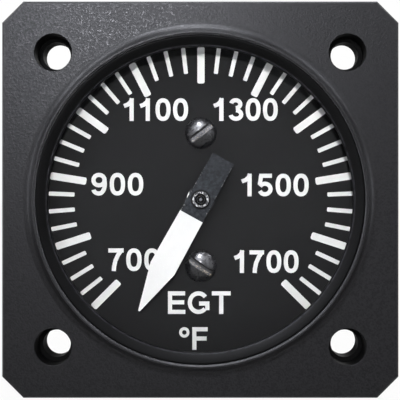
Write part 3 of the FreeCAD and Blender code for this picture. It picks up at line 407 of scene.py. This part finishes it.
def enamelled_wire():
    """Winding of copper wire: fine parallel ridges across the loop."""
    finish = Finish("copper_wire")
    x, y, z = finish.axes()
    turns = ((x + z) * (2 * math.pi / (0.16 * MM))).math("SINE") * 0.5 + 0.5
    return finish.done(finish.surface(
        finish.between((0.20, 0.055, 0.02), (0.62, 0.26, 0.10), turns), 0.3,
        finish.bump(turns, 0.03 * MM), Metallic=1.0, Coat_Weight=0.5))


def solder_mask():
    """Green lacquered laminate with copper tracks under the lacquer."""
    finish = Finish("board_green")
    x, y, z = finish.axes()
    lanes = ((x + finish.noise(7 * MM) * 6 * MM) * (2 * math.pi / (2.2 * MM))).math("SINE")
    track = lanes.step(0.35, 0.55)
    colour = finish.between((0.012, 0.085, 0.030), (0.03, 0.17, 0.06), track)
    return finish.done(finish.surface(colour, 0.28, finish.bump(track, 0.03 * MM), Coat_Weight=0.3))


# %% Give each record slot its finish
# radius of the ring's painted highlight, on its rounded inner edge
RING_HIGHLIGHT_RADIUS = RIM_BORE - 1.62 * MM
EVEN = (1, 1, 1)
TURNED = (1, 0.12, 1)
finishes = {
    "bezel_black": moulded_black(),
    "ring_black": satin_enamel("ring_black", (0.001, 0.001, 0.001), (0.002, 0.002, 0.002), 0.30, 0.024, RING_HIGHLIGHT_RADIUS),
    "window_glass": clear_glass(),
    "gasket_rubber": moulded("gasket_rubber", (0.012, 0.012, 0.012), (0.03, 0.03, 0.03), 0.75),
    "dial_black": satin_enamel("dial_black", (0.0152, 0.0152, 0.0156), (0.0184, 0.0184, 0.0190), 0.62, 0.03),
    "screw_black": oxide_black("screw_black"),
    "turned_brass": metal("turned_brass", (0.50, 0.34, 0.12), (0.80, 0.62, 0.30), 0.25, TURNED),
    "plate_aluminium": metal("plate_aluminium", (0.55, 0.56, 0.57), (0.78, 0.79, 0.80), 0.35, (0.1, 1, 1)),
    "bright_steel": metal("bright_steel", (0.45, 0.45, 0.45), (0.72, 0.72, 0.71), 0.2, TURNED),
    "magnet_grey": metal("magnet_grey", (0.10, 0.10, 0.11), (0.24, 0.24, 0.25), 0.45, EVEN),
    "pointer_paint": pointer_paint(),
    "hub_dark": hub_metal(),
    "spring_bronze": metal("spring_bronze", (0.35, 0.20, 0.08), (0.62, 0.42, 0.22), 0.3, EVEN),
    "natural_nylon": moulded("natural_nylon", (0.66, 0.62, 0.50), (0.80, 0.77, 0.67), 0.45),
    "jewel_red": moulded("jewel_red", (0.32, 0.01, 0.04), (0.55, 0.03, 0.09), 0.08),
    "copper_wire": enamelled_wire(),
    "shield_steel": metal("shield_steel", (0.26, 0.26, 0.27), (0.46, 0.46, 0.47), 0.4, (1, 0.1, 1)),
    "board_green": solder_mask(),
    "chip_black": moulded("chip_black", (0.012, 0.012, 0.012), (0.035, 0.035, 0.036), 0.6),
    "capacitor_sleeve": moulded("capacitor_sleeve", (0.012, 0.016, 0.05), (0.03, 0.035, 0.09), 0.25),
    "trimmer_blue": moulded("trimmer_blue", (0.02, 0.09, 0.36), (0.04, 0.14, 0.48), 0.3),
    "rotor_white": moulded("rotor_white", (0.70, 0.70, 0.67), (0.84, 0.84, 0.82), 0.4),
    "case_black": satin_enamel("case_black", (0.022, 0.022, 0.024), (0.042, 0.042, 0.045), 0.46, 0.2),
    "stud_nickel": metal("stud_nickel", (0.34, 0.33, 0.30), (0.60, 0.58, 0.52), 0.3, EVEN),
    "insulator_tan": moulded("insulator_tan", (0.26, 0.15, 0.07), (0.44, 0.29, 0.15), 0.5, 0.3 * MM),
}
for entry in frame["record"]["subparts"]:
    piece = frame["nodes"][entry["node"]]
    piece.data.materials.clear()
    piece.data.materials.append(finishes[entry["material_slot"]])


# %% [markdown]
# ## Surfaces from arrays
#
# A new piece is a grid of points that a formula places, and quads that join neighbours. Numpy works
# out the whole grid at once, and wrapping a side of the grid closes a tube or a ring.

# %% Helpers that turn grids of points into pieces
def grid_quads(rows, columns, wrap_rows=False, wrap_columns=False):
    """Indices of the quads between neighbours in a grid of rows by columns points."""
    row = np.arange(rows if wrap_rows else rows - 1)[:, None]
    column = np.arange(columns if wrap_columns else columns - 1)[None, :]
    next_row, next_column = (row + 1) % rows, (column + 1) % columns
    corners = [row * columns + column, row * columns + next_column,
               next_row * columns + next_column, next_row * columns + column]
    return np.stack(np.broadcast_arrays(*corners), axis=-1).reshape(-1, 4)


def make_piece(name, points, faces, body, slot, finish=None, smooth=False):
    """A named mesh object from an array of points and lists of corner indices."""
    mesh = bpy.data.meshes.new(name)
    mesh.from_pydata(np.asarray(points).tolist(), [], [list(map(int, face)) for face in faces])
    mesh.update()
    mesh.polygons.foreach_set("use_smooth", np.full(len(mesh.polygons), smooth))
    mesh.materials.append(finish or finishes[slot])
    piece = bpy.data.objects.new(name, mesh)
    bpy.context.collection.objects.link(piece)
    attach(piece, body)
    print(name, len(mesh.vertices), "points,", len(mesh.polygons), "faces")
    return piece


def clean_up(piece):
    """Merge doubled points, drop faces that have no area and turn the rest outwards."""
    mesh = bmesh.new()
    mesh.from_mesh(piece.data)
    bmesh.ops.remove_doubles(mesh, verts=mesh.verts, dist=0.001 * MM)
    bmesh.ops.dissolve_degenerate(mesh, edges=mesh.edges, dist=0.001 * MM)
    bmesh.ops.recalc_face_normals(mesh, faces=mesh.faces)
    mesh.to_mesh(piece.data)
    mesh.free()
    print(piece.name, "kept", len(piece.data.vertices), "points")


def gather(parts):
    """Join (points, faces) parts into one, moving each part's indices past those before it."""
    starts = np.cumsum([0] + [len(points) for points, faces in parts[:-1]])
    points = np.concatenate([points for points, faces in parts])
    faces = [np.asarray(face) + start for start, (_, faces) in zip(starts, parts) for face in faces]
    return points, faces


# %% [markdown]
# ## Print on the dial
#
# The real dial is screen printed: a film of white ink a few hundredths of a millimetre thick. The
# marks could be painted by the material, but ink has an edge that catches the light, so each mark
# is a thin slab. A numeral is a pen stroke, which is a short flat section carried along a path.

# %% Values of the printed scale
DIAL_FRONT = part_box("dial_plate")[0][1]
INK = 0.03 * MM
DIAL_SCALE = PLATE_SCALE * (CAMERA_DISTANCE + DIAL_FRONT - plate_front) / CAMERA_DISTANCE
SCALE_LOW, SCALE_HIGH = -135, 135      # degrees clockwise from the top
TICKS = 41
TICK_OUTER = 152.5 * DIAL_SCALE
MAJOR_INNER, MAJOR_WIDTH = 116 * DIAL_SCALE, 7.3 * DIAL_SCALE
MINOR_INNER, MINOR_WIDTH = 126.5 * DIAL_SCALE, 4.2 * DIAL_SCALE
printed = printed_white()
print("dial scale", round(DIAL_SCALE / MM, 4), "mm per pixel")


def slab(outline):
    """A slab of ink from a closed outline of (x, z) points: the outline on the dial and again above."""
    count = len(outline)
    levels = [DIAL_FRONT, DIAL_FRONT - INK]
    points = np.concatenate([np.stack([outline[:, 0], np.full(count, level), outline[:, 1]], axis=1)
                             for level in levels])
    sides = grid_quads(2, count, wrap_columns=True)
    return points, [*sides[:, ::-1], np.arange(count)[::-1], np.arange(count, 2 * count)]


def rounded_bar(inner, outer, width, corner, turn):
    """A bar along a radius with round corners, turned clockwise: four quarter circles joined up."""
    quarter = np.linspace(0, np.pi / 2, 5)
    starts = np.repeat(np.arange(4) * np.pi / 2, len(quarter))
    angles = np.tile(quarter, 4) + starts
    side = np.sign(np.cos(starts + np.pi / 4)) * (width / 2 - corner)
    end = np.where(np.sin(starts + np.pi / 4) > 0, outer - corner, inner + corner)
    across, along = side + corner * np.cos(angles), end + corner * np.sin(angles)
    return np.stack([across * math.cos(turn) + along * math.sin(turn),
                     along * math.cos(turn) - across * math.sin(turn)], axis=1)


# %% Print the graduations
ticks = []
for index, degrees in enumerate(np.linspace(SCALE_LOW, SCALE_HIGH, TICKS)):
    inner, width = (MINOR_INNER, MINOR_WIDTH) if index % 4 else (MAJOR_INNER, MAJOR_WIDTH)
    ticks.append(slab(rounded_bar(inner, TICK_OUTER, width, 0.25 * width, math.radians(degrees))))
make_piece("dial_ticks", *gather(ticks), "case", "dial_black", printed)


# %% Strokes of the numerals and letters
CAP = 22.7 * DIAL_SCALE
PEN = 0.185                            # stroke width as a share of the capital height


def arc(x, z, width, height, start, stop, count=24):
    """Part of an upright ellipse; angles in degrees clockwise from the top."""
    angles = np.radians(np.linspace(start, stop, count))
    return np.stack([x + width / 2 * np.sin(angles), z + height / 2 * np.cos(angles)], axis=1)


def squarish(x, z, width, height, power=2.35, count=56):
    """A closed oval, fuller than an ellipse: both its sine and cosine are raised to 2 / power."""
    angles = np.linspace(0, 2 * np.pi, count, endpoint=False)
    swing, rise = np.sin(angles), np.cos(angles)
    return np.stack([x + width / 2 * np.sign(swing) * np.abs(swing) ** (2 / power),
                     z + height / 2 * np.sign(rise) * np.abs(rise) ** (2 / power)], axis=1)


def line(*points):
    return np.array(points, float)


HALF = PEN / 2
GLYPHS = {
    "0": (0.66, [(squarish(0.33, 0.5, 0.66 - PEN, 1 - PEN), True)]),
    "1": (0.47, [(line((0.375, 0), (0.375, 1)), False),
                 (line((0.04, 0.655), (0.20, 0.715), (0.33, 0.83), (0.395, 0.985)), False)]),
    "3": (0.64, [(arc(0.305, 0.735, 0.62 - PEN - 0.03, 0.53 - PEN, -78, 180), False),
                 (arc(0.315, 0.28, 0.65 - PEN, 0.56 - PEN, 0, 262), False)]),
    "5": (0.68, [(line((0.125, 1 - HALF), (0.63, 1 - HALF)), False),
                 (line((0.175, 0.985), (0.10, 0.50)), False),
                 (arc(0.33, 0.325, 0.66 - PEN, 0.65 - PEN, -62, 248), False)]),
    "7": (0.65, [(line((0, 1 - HALF), (0.65, 1 - HALF)), False),
                 (line((0.565, 0.93), (0.42, 0.72), (0.30, 0.45), (0.245, 0.2), (0.23, 0)), False)]),
    "9": (0.67, [(squarish(0.325, 0.68, 0.65 - PEN, 0.64 - PEN, 2.1), True),
                 (arc(0.33, 0.5, 0.67 - PEN, 1 - PEN, 62, 160), False),
                 (arc(0.315, 0.28, 0.63 - PEN, 0.56 - PEN, 150, 262), False)]),
    "E": (0.77, [(line((HALF, 0), (HALF, 1)), False), (line((0, 1 - HALF), (0.76, 1 - HALF)), False),
                 (line((0, 0.515), (0.72, 0.515)), False), (line((0, HALF), (0.77, HALF)), False)]),
    "G": (0.96, [(arc(0.475, 0.5, 0.95 - PEN, 1 - PEN, 52, -228, 40), False),
                 (line((0.50, 0.46), (0.955, 0.46)), False),
                 (line((0.955 - HALF, 0.53), (0.955 - HALF, 0.17)), False)]),
    "T": (0.83, [(line((0, 1 - HALF), (0.83, 1 - HALF)), False),
                 (line((0.415, 0), (0.415, 1)), False)]),
    "F": (0.68, [(line((HALF, 0), (HALF, 1)), False), (line((0, 1 - HALF), (0.68, 1 - HALF)), False),
                 (line((0, 0.50), (0.64, 0.50)), False)]),
    "°": (0.46, [(arc(0.23, 0.77, 0.46 - 0.13, 0.46 - 0.13, 0, 345, 24), True)]),
}
THIN_PEN = 0.13                        # the degree ring's stroke


def pen_stroke(path, pen, closed, level):
    """A flat section carried along a path.

    At each point the path's direction is turned a quarter to give its normal, and the section's
    corners lie half the pen's width along the normal on both sides, on the dial and above it.
    """
    if closed:
        way = np.roll(path, -1, axis=0) - np.roll(path, 1, axis=0)
    else:
        way = np.gradient(path, axis=0)
    way /= np.linalg.norm(way, axis=1, keepdims=True)
    normal = np.stack([-way[:, 1], way[:, 0]], axis=1) * pen / 2
    corners = []
    for side, height in ((1, 0), (1, INK + level), (-1, INK + level), (-1, 0)):
        edge = path + side * normal
        corners.append(np.stack([edge[:, 0], np.full(len(path), DIAL_FRONT - height), edge[:, 1]], axis=1))
    points = np.stack(corners, axis=1).reshape(-1, 3)
    quads = grid_quads(len(path), 4, wrap_rows=closed, wrap_columns=True)
    ends = [] if closed else [[3, 2, 1, 0], [len(points) - 4 + corner for corner in range(4)]]
    return points, [*quads, *ends]


def write(text, left, right, middle, gap=2.4):
    """Strokes of a label between two pixel columns, its capitals centred on a pixel row."""
    gaps = [5.4 if character == "1" else gap for character in text[:-1]] + [0]
    widths = [GLYPHS[character][0] * 22.7 for character in text]
    stretch = (right - left) / (sum(widths) + sum(gaps))
    strokes, column = [], left
    for character, width, space in zip(text, widths, gaps):
        for number, (path, closed) in enumerate(GLYPHS[character][1]):
            x = (column - DIAL_COLUMN) * DIAL_SCALE + path[:, 0] * CAP * stretch
            z = (DIAL_ROW - middle) * DIAL_SCALE + (path[:, 1] - 0.5) * CAP
            pen = (THIN_PEN if character == "°" else PEN) * CAP
            strokes.append(pen_stroke(np.stack([x, z], axis=1), pen, closed, number * 0.002 * MM))
        column += (width + space) * stretch
    return strokes


# %% Print the numerals and the legend
DIAL_COLUMN, DIAL_ROW = 201.6, 199     # the pointer's axis in the photograph
LABELS = [("700", 109, 160.4, 259.2), ("900", 92, 144, 183.7), ("1100", 123.7, 188.8, 109.1),
          ("1300", 213.6, 278.4, 109), ("1500", 241.5, 309.4, 184.5), ("1700", 234.2, 299.2, 261.1)]
numerals = [stroke for label in LABELS for stroke in write(*label)]
make_piece("dial_numerals", *gather(numerals), "case", "dial_black", printed)
legend = write("EGT", 168.6, 231.3, 302.1) + write("°F", 179.8, 208.3, 338, 2.7)
make_piece("dial_legend", *gather(legend), "case", "dial_black", printed)

# %% [markdown]
# ## The dial's screws
#
# The two screws have low domed heads with slots. The lower side of each slot shows paler metal, partly real
# rubbing and partly painted highlight where the slot's floor would catch light, and the upper side is left black
# as painted shadow. A cut made by a boolean would leave slivers, so one grid is laid along the slot, and a formula
# gives each point's height.

# %% Values of the screws
HEAD_LOW, HEAD_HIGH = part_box("dial_screws")
HEAD_RADIUS = (HEAD_HIGH[0] - HEAD_LOW[0]) / 2
HEAD_RISE = DIAL_FRONT - HEAD_LOW[1]
HEAD_EDGE = 0.30 * MM
SHANK_RADIUS = 1.2 * MM
SLOT_HALF = 0.475 * MM
SLOT_FLOOR = 0.75 * MM
SCREW_OFFSET = (HEAD_HIGH[2] - HEAD_LOW[2]) / 2 - HEAD_RADIUS
print("head radius", round(HEAD_RADIUS / MM, 2), "rise", round(HEAD_RISE / MM, 2), "mm")


# %% The head's grid and its shape
def head_grid(rows=49, side_columns=12):
    """How far each point of a grid that fills the head's circle lies along the slot and across it.

    A row at v along the slot is a chord of half length sqrt(R^2 - v^2), and the columns, which crowd
    at the slot's sides, are held inside it.
    """
    v = HEAD_RADIUS * np.sin(np.linspace(-np.pi / 2, np.pi / 2, rows))[:, None]
    chord = np.sqrt(np.maximum(HEAD_RADIUS ** 2 - v ** 2, 0))
    out = np.linspace(1, 0, side_columns + 1)[None, :-1]
    edge = SLOT_HALF + 0.08 * MM
    wing = edge + np.maximum(chord - edge, 0) * out
    slot = np.array([-edge, -SLOT_HALF, -SLOT_HALF + 0.02 * MM, -0.15 * MM, 0, 0.15 * MM,
                     SLOT_HALF - 0.12 * MM, SLOT_HALF, edge])[None, :] + 0 * v
    across = np.concatenate([-wing, slot, wing[:, ::-1]], axis=1)
    across = np.clip(across, -chord, chord)
    return v + 0 * across, across


def head_shape(along, across):
    """Height of each point over the dial, and how much paler metal and painted light it shows.

    The dome is part of a ball: its height falls as the square root does with radius. The slot's lower side slants,
    and it and its edge carry paler metal, partly real rubbing and partly painted highlight, while the upper side
    stays black as painted shadow. This fades towards the head's edge.
    """
    radius = np.minimum(np.hypot(across, along), HEAD_RADIUS)
    ball = (HEAD_RADIUS ** 2 + (HEAD_RISE - HEAD_EDGE) ** 2) / (2 * (HEAD_RISE - HEAD_EDGE))
    dome = HEAD_RISE - ball + np.sqrt(ball ** 2 - radius ** 2)
    inside = np.clip((SLOT_HALF - np.abs(across)) / (0.02 * MM), 0, 1)
    slanted = np.clip((SLOT_HALF - across) / (0.12 * MM), 0, 1)
    height = dome - np.maximum(dome - SLOT_FLOOR, 0) * np.minimum(inside, slanted)
    # paler metal on the slot's lower side and edge, partly rubbing and partly painted highlight; the upper side
    # stays black as painted shadow
    wear_with_painted_light = np.clip(inside * (across > 0.08 * MM) * 0.9 + (np.abs(across - SLOT_HALF) < 0.1 * MM) * 0.6, 0, 1)
    return height, wear_with_painted_light * np.clip((0.97 - radius / HEAD_RADIUS) / 0.12, 0, 1)


# %% Close the head to a screw
def screw_head(z_middle, slope):
    """Points, faces and the paler metal and painted light of a screw whose slot runs along a slope, in degrees up
    to the right.

    The grid's border is let down to the dial, drawn in to the shank and let down again to the tip.
    """
    along, across = head_grid()
    height, wear_with_painted_light = head_shape(along, across)
    rows, columns = across.shape
    lean = math.radians(slope)
    x = along * math.cos(lean) + across * math.sin(lean)
    z = z_middle + along * math.sin(lean) - across * math.cos(lean)
    top = np.stack([x, DIAL_FRONT - height, z], axis=-1)
    rim = np.concatenate([np.arange(rows) * columns, (np.arange(rows)[::-1] + 1) * columns - 1])
    skirt = top.reshape(-1, 3)[rim]
    skirt[:, 1] = DIAL_FRONT
    shank = skirt.copy()
    shank[:, 0] *= SHANK_RADIUS / HEAD_RADIUS
    shank[:, 2] = z_middle + (shank[:, 2] - z_middle) * SHANK_RADIUS / HEAD_RADIUS
    tip = shank.copy()
    tip[:, 1] = HEAD_HIGH[1]
    points = np.concatenate([top.reshape(-1, 3), skirt, shank, tip])
    count, start = len(rim), rows * columns
    loops = np.stack([rim, start + np.arange(count), start + count + np.arange(count),
                      start + 2 * count + np.arange(count)])
    ahead = np.roll(loops, -1, axis=1)
    sides = np.stack([loops[:-1], loops[1:], ahead[1:], ahead[:-1]], axis=-1).reshape(-1, 4)
    faces = [*grid_quads(rows, columns), *sides, loops[-1][::-1]]
    wear_with_painted_light = np.concatenate([wear_with_painted_light.ravel(), np.zeros(3 * count)])
    return points, faces, wear_with_painted_light


# %% Make the dial's screws
heads = [screw_head(SCREW_OFFSET, 38), screw_head(-SCREW_OFFSET, -35)]
dial_heads = make_piece("dial_screw_heads", *gather([head[:2] for head in heads]), "case", "screw_black",
                        oxide_black("worn_screw_black", worn=True), smooth=True)
# the point attribute of paler metal and painted light
dial_heads.data.attributes.new("wear_with_painted_light", "FLOAT", "POINT").data.foreach_set(
    "value", np.concatenate([head[2] for head in heads]))
clean_up(dial_heads)
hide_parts("dial_screws")

# %% [markdown]
# ## Screw threads on the terminals
#
# The solids carry plain cylinders where the real studs are threaded. A thread is a ridge that winds
# round: one grid follows it, so the crest stays sharp with few points. The hexagon and the tail are
# short profiles turned in six and in many steps.

# %% Helpers for the studs
def lathe(profile, x, z, columns=32, first=0.0, hollow=False):
    """A profile of (radius, y) turned about a line along y in a number of flat or round steps.

    A solid piece is closed by a flat face at both ends; a hollow one joins its last row to its first.
    """
    radius, y = np.array(profile).T
    angle = np.radians(first) + np.linspace(0, 2 * np.pi, columns, endpoint=False)
    ring = np.stack([x + radius[:, None] * np.cos(angle), y[:, None] + 0 * angle,
                     z + radius[:, None] * np.sin(angle)], axis=-1)
    faces = grid_quads(len(profile), columns, wrap_rows=hollow, wrap_columns=True)
    last = (len(profile) - 1) * columns
    ends = [] if hollow else [np.arange(columns)[::-1], np.arange(columns) + last]
    return ring.reshape(-1, 3), [*faces, *ends]


def thread(x, z, radius, pitch, low, high, columns=40):
    """A thread whose radius falls from crest to root and back once in each pitch.

    Row by row the grid climbs a quarter of a pitch; column by column it turns, and each column
    starts a little further along, by its share of one pitch, so that the crest runs as a helix.
    Points past the end planes are held on them, where the radius is drawn in for the lead.
    """
    depth = 0.55 * pitch
    rows = int((high - low) / pitch * 6) + 13
    phase = np.arange(rows)[:, None] / 6 - 1
    share = np.arange(columns)[None, :] / columns
    along = np.clip(low + (phase + share) * pitch, low, high)
    fall = 1 - np.abs((phase % 1) * 2 - 1) + 0 * share
    fall = np.clip(fall * 1.35 - 0.15, 0, 1) * depth
    lead = np.clip(np.minimum(along - low, high - along) / (0.8 * pitch), 0, 1)
    reach = radius - np.maximum(fall, (1 - lead) * depth)
    turn = 2 * np.pi * share + 0 * phase
    points = np.stack([x + reach * np.cos(turn), along, z + reach * np.sin(turn)], axis=-1).reshape(-1, 3)
    return points, [*grid_quads(rows, columns, wrap_columns=True),
                    np.arange(columns)[::-1], np.arange(columns) + (rows - 1) * columns]


# %% Thread the studs
STUD_PITCH = 0.79 * MM
FLANGE_THICKNESS = 2.5 * MM
TAIL_RADIUS = 1.2 * MM
flange_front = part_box("stud_insulators")[1][1]
thread_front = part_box("stud_nuts")[0][1] - 1 * MM
terminals = {mount["name"]: mount for mount in frame["record"]["mounts"] if mount["kind"] == "pin"}


def make_stud(node, names, slot):
    """Replace a node of studs: tail, thread and chamfered hexagon flange for each terminal named."""
    low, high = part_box(node)
    corner = (high[2] - low[2]) / math.sqrt(3)
    parts = []
    for name in names:
        x, _, z = terminals[name]["pos_m"]
        radius = terminals[name]["dims"]["r_mm"] * MM
        inner = 0.93 * corner
        flange_rear = flange_front + FLANGE_THICKNESS
        parts.append(lathe([(0.02 * MM, low[1]), (TAIL_RADIUS, low[1]), (TAIL_RADIUS, thread_front),
                            (0.02 * MM, thread_front)], x, z))
        parts.append(thread(x, z, radius, STUD_PITCH, thread_front, high[1]))
        parts.append(lathe([(inner, flange_front), (corner, flange_front + 0.25 * MM),
                            (corner, flange_rear - 0.25 * MM), (inner, flange_rear)], x, z, 6))
    piece = make_piece(node + "_threaded", *gather(parts), "case", slot)
    clean_up(piece)
    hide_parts(node)


make_stud("alumel_stud", ["alumel_terminal"], "stud_nickel")
make_stud("chromel_stud", ["chromel_terminal"], "stud_nickel")
make_stud("power_studs", ["power_terminal_left", "power_terminal_right"], "turned_brass")

# %% [markdown]
# ## The retaining ring
#
# Seen close up, the ring has a rounded inner edge that catches the light and a face that leans a little inwards.
# The lathe helper turns that profile, and the ring's finish adds a painted highlight along that edge.

# %% Turn the ring
RING_WIDTH = 1.8 * MM
ring_low, ring_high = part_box("retaining_ring")
outer, face, rear = ring_high[0], ring_low[1], ring_high[1]
inner = outer - RING_WIDTH
print("ring from", round(inner / MM, 2), "to", round(outer / MM, 2), "mm, depth", round((rear - face) / MM, 2))
profile = [(inner, rear), (inner, face + 0.60 * MM), (inner + 0.04 * MM, face + 0.50 * MM),
           (inner + 0.12 * MM, face + 0.45 * MM), (inner + 0.24 * MM, face + 0.42 * MM),
           (outer - 0.30 * MM, face + 0.08 * MM), (outer - 0.03 * MM, face + 0.06 * MM),
           (outer, face + 0.07 * MM), (outer, rear)]
ring = make_piece("ring_turned", *lathe(profile, 0, 0, 192, hollow=True), "case", "ring_black", smooth=True)
clean_up(ring)
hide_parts("retaining_ring")

# %% [markdown]
# ## Studio
#
# White paper behind and below. The key light stands close above the lens, so that the rim shades
# only the upper ends of the marks, and a weak fill below the lens evens the whites. The other lamps
# are seen in glossy surfaces only: one in front rakes the sand texture, and an arch in two bands
# round the top draws the light along the rim. A smaller one above puts the spot on the screws.
# Two lamps behind, which the dial doesn't see, show the case and its terminals.

# %% Build the floor
def white_paper():
    """White paper: part of it glows for the camera and for reflections, the rest takes shadows."""
    finish = Finish("white_paper")
    paper = finish.surface((0.86, 0.86, 0.86), 0.9)
    glow = finish.node("ShaderNodeEmission", inputs={"Color": (1, 1, 1), "Strength": 1.0})
    share = finish.sees_background() * 0.95
    return finish.done(finish.node("ShaderNodeMixShader", inputs=[share, paper, glow]))


FLOOR = cad_box[0][2] - 0.2 * MM
span = 3.0
mesh = bpy.data.meshes.new("floor")
mesh.from_pydata([(-span, -span, FLOOR), (span, -span, FLOOR), (span, span, FLOOR), (-span, span, FLOOR)],
                 [], [(0, 1, 2, 3)])
mesh.materials.append(white_paper())
floor = bpy.data.objects.new("floor", mesh)
bpy.context.collection.objects.link(floor)


# %% Place the lamps
def soft_light(name, place, size, share, diffuse=True, glossy=True, colour=(1, 1, 1)):
    """A square lamp aimed at the dial, with its share of a full white light there.

    A lamp of power P spreads P / pi over a square metre at one metre, straight ahead, and a full
    light is pi watts on a square metre, so P is the share times pi squared times distance squared.
    """
    data = bpy.data.lights.new(name, "AREA")
    data.shape, data.size = "SQUARE", size
    data.energy = share * math.pi ** 2 * float(np.dot(place, place))
    data.color = colour
    lamp = bpy.data.objects.new(name, data)
    lamp.location = place
    yaw = math.atan2(place[0], -place[1])
    pitch = math.atan2(math.hypot(place[0], place[1]), place[2])
    lamp.rotation_euler = (pitch, 0, yaw)
    lamp.visible_diffuse, lamp.visible_glossy = diffuse, glossy
    bpy.context.collection.objects.link(lamp)


COOL = (0.90, 0.92, 1.0)
soft_light("key_light", (0.004, -0.15, 0.034), 0.012, 0.79, glossy=False)
soft_light("low_fill", (0.03, -0.25, -0.12), 0.08, 0.11, glossy=False)
soft_light("sheen_light", (-0.06, -0.40, 0.13), 0.05, 1.7, diffuse=False, colour=COOL)
soft_light("spot_light", (-0.05, -0.21, 0.30), 0.10, 2.8, diffuse=False, colour=COOL)
for degrees, share in ((-90, 0.8), (-45, 1.9), (0, 2.2), (45, 1.2), (90, 0.6)):
    angle = math.radians(degrees)
    for band, reach, depth, part in (("far", 0.36, -0.05, 1.0), ("near", 0.26, -0.27, 0.35)):
        place = (reach * math.sin(angle), depth, reach * math.cos(angle) + 0.03)
        soft_light(f"{band}_arch_{degrees}", place, 0.18, share * part, diffuse=False, colour=COOL)
soft_light("back_light", (0.25, 0.45, 0.30), 0.30, 0.6)
soft_light("back_fill", (-0.35, 0.35, 0.15), 0.30, 0.3)


# %% Set the world
def white_room(name):
    """The world: white where it is looked at, and a dim, slightly cool light on everything else."""
    room = Graph(bpy.data.worlds.new(name))
    dim = room.node("ShaderNodeBackground", inputs={"Color": (0.95, 0.97, 1.0), "Strength": 0.06})
    white = room.node("ShaderNodeBackground", inputs={"Color": (1, 1, 1), "Strength": 1.0})
    seen = room.node("ShaderNodeMixShader", inputs=[room.sees_background(), dim, white])
    return room.done(seen, "ShaderNodeOutputWorld")


bpy.context.scene.world = white_room("studio")
bpy.context.scene.view_settings.view_transform = "Standard"
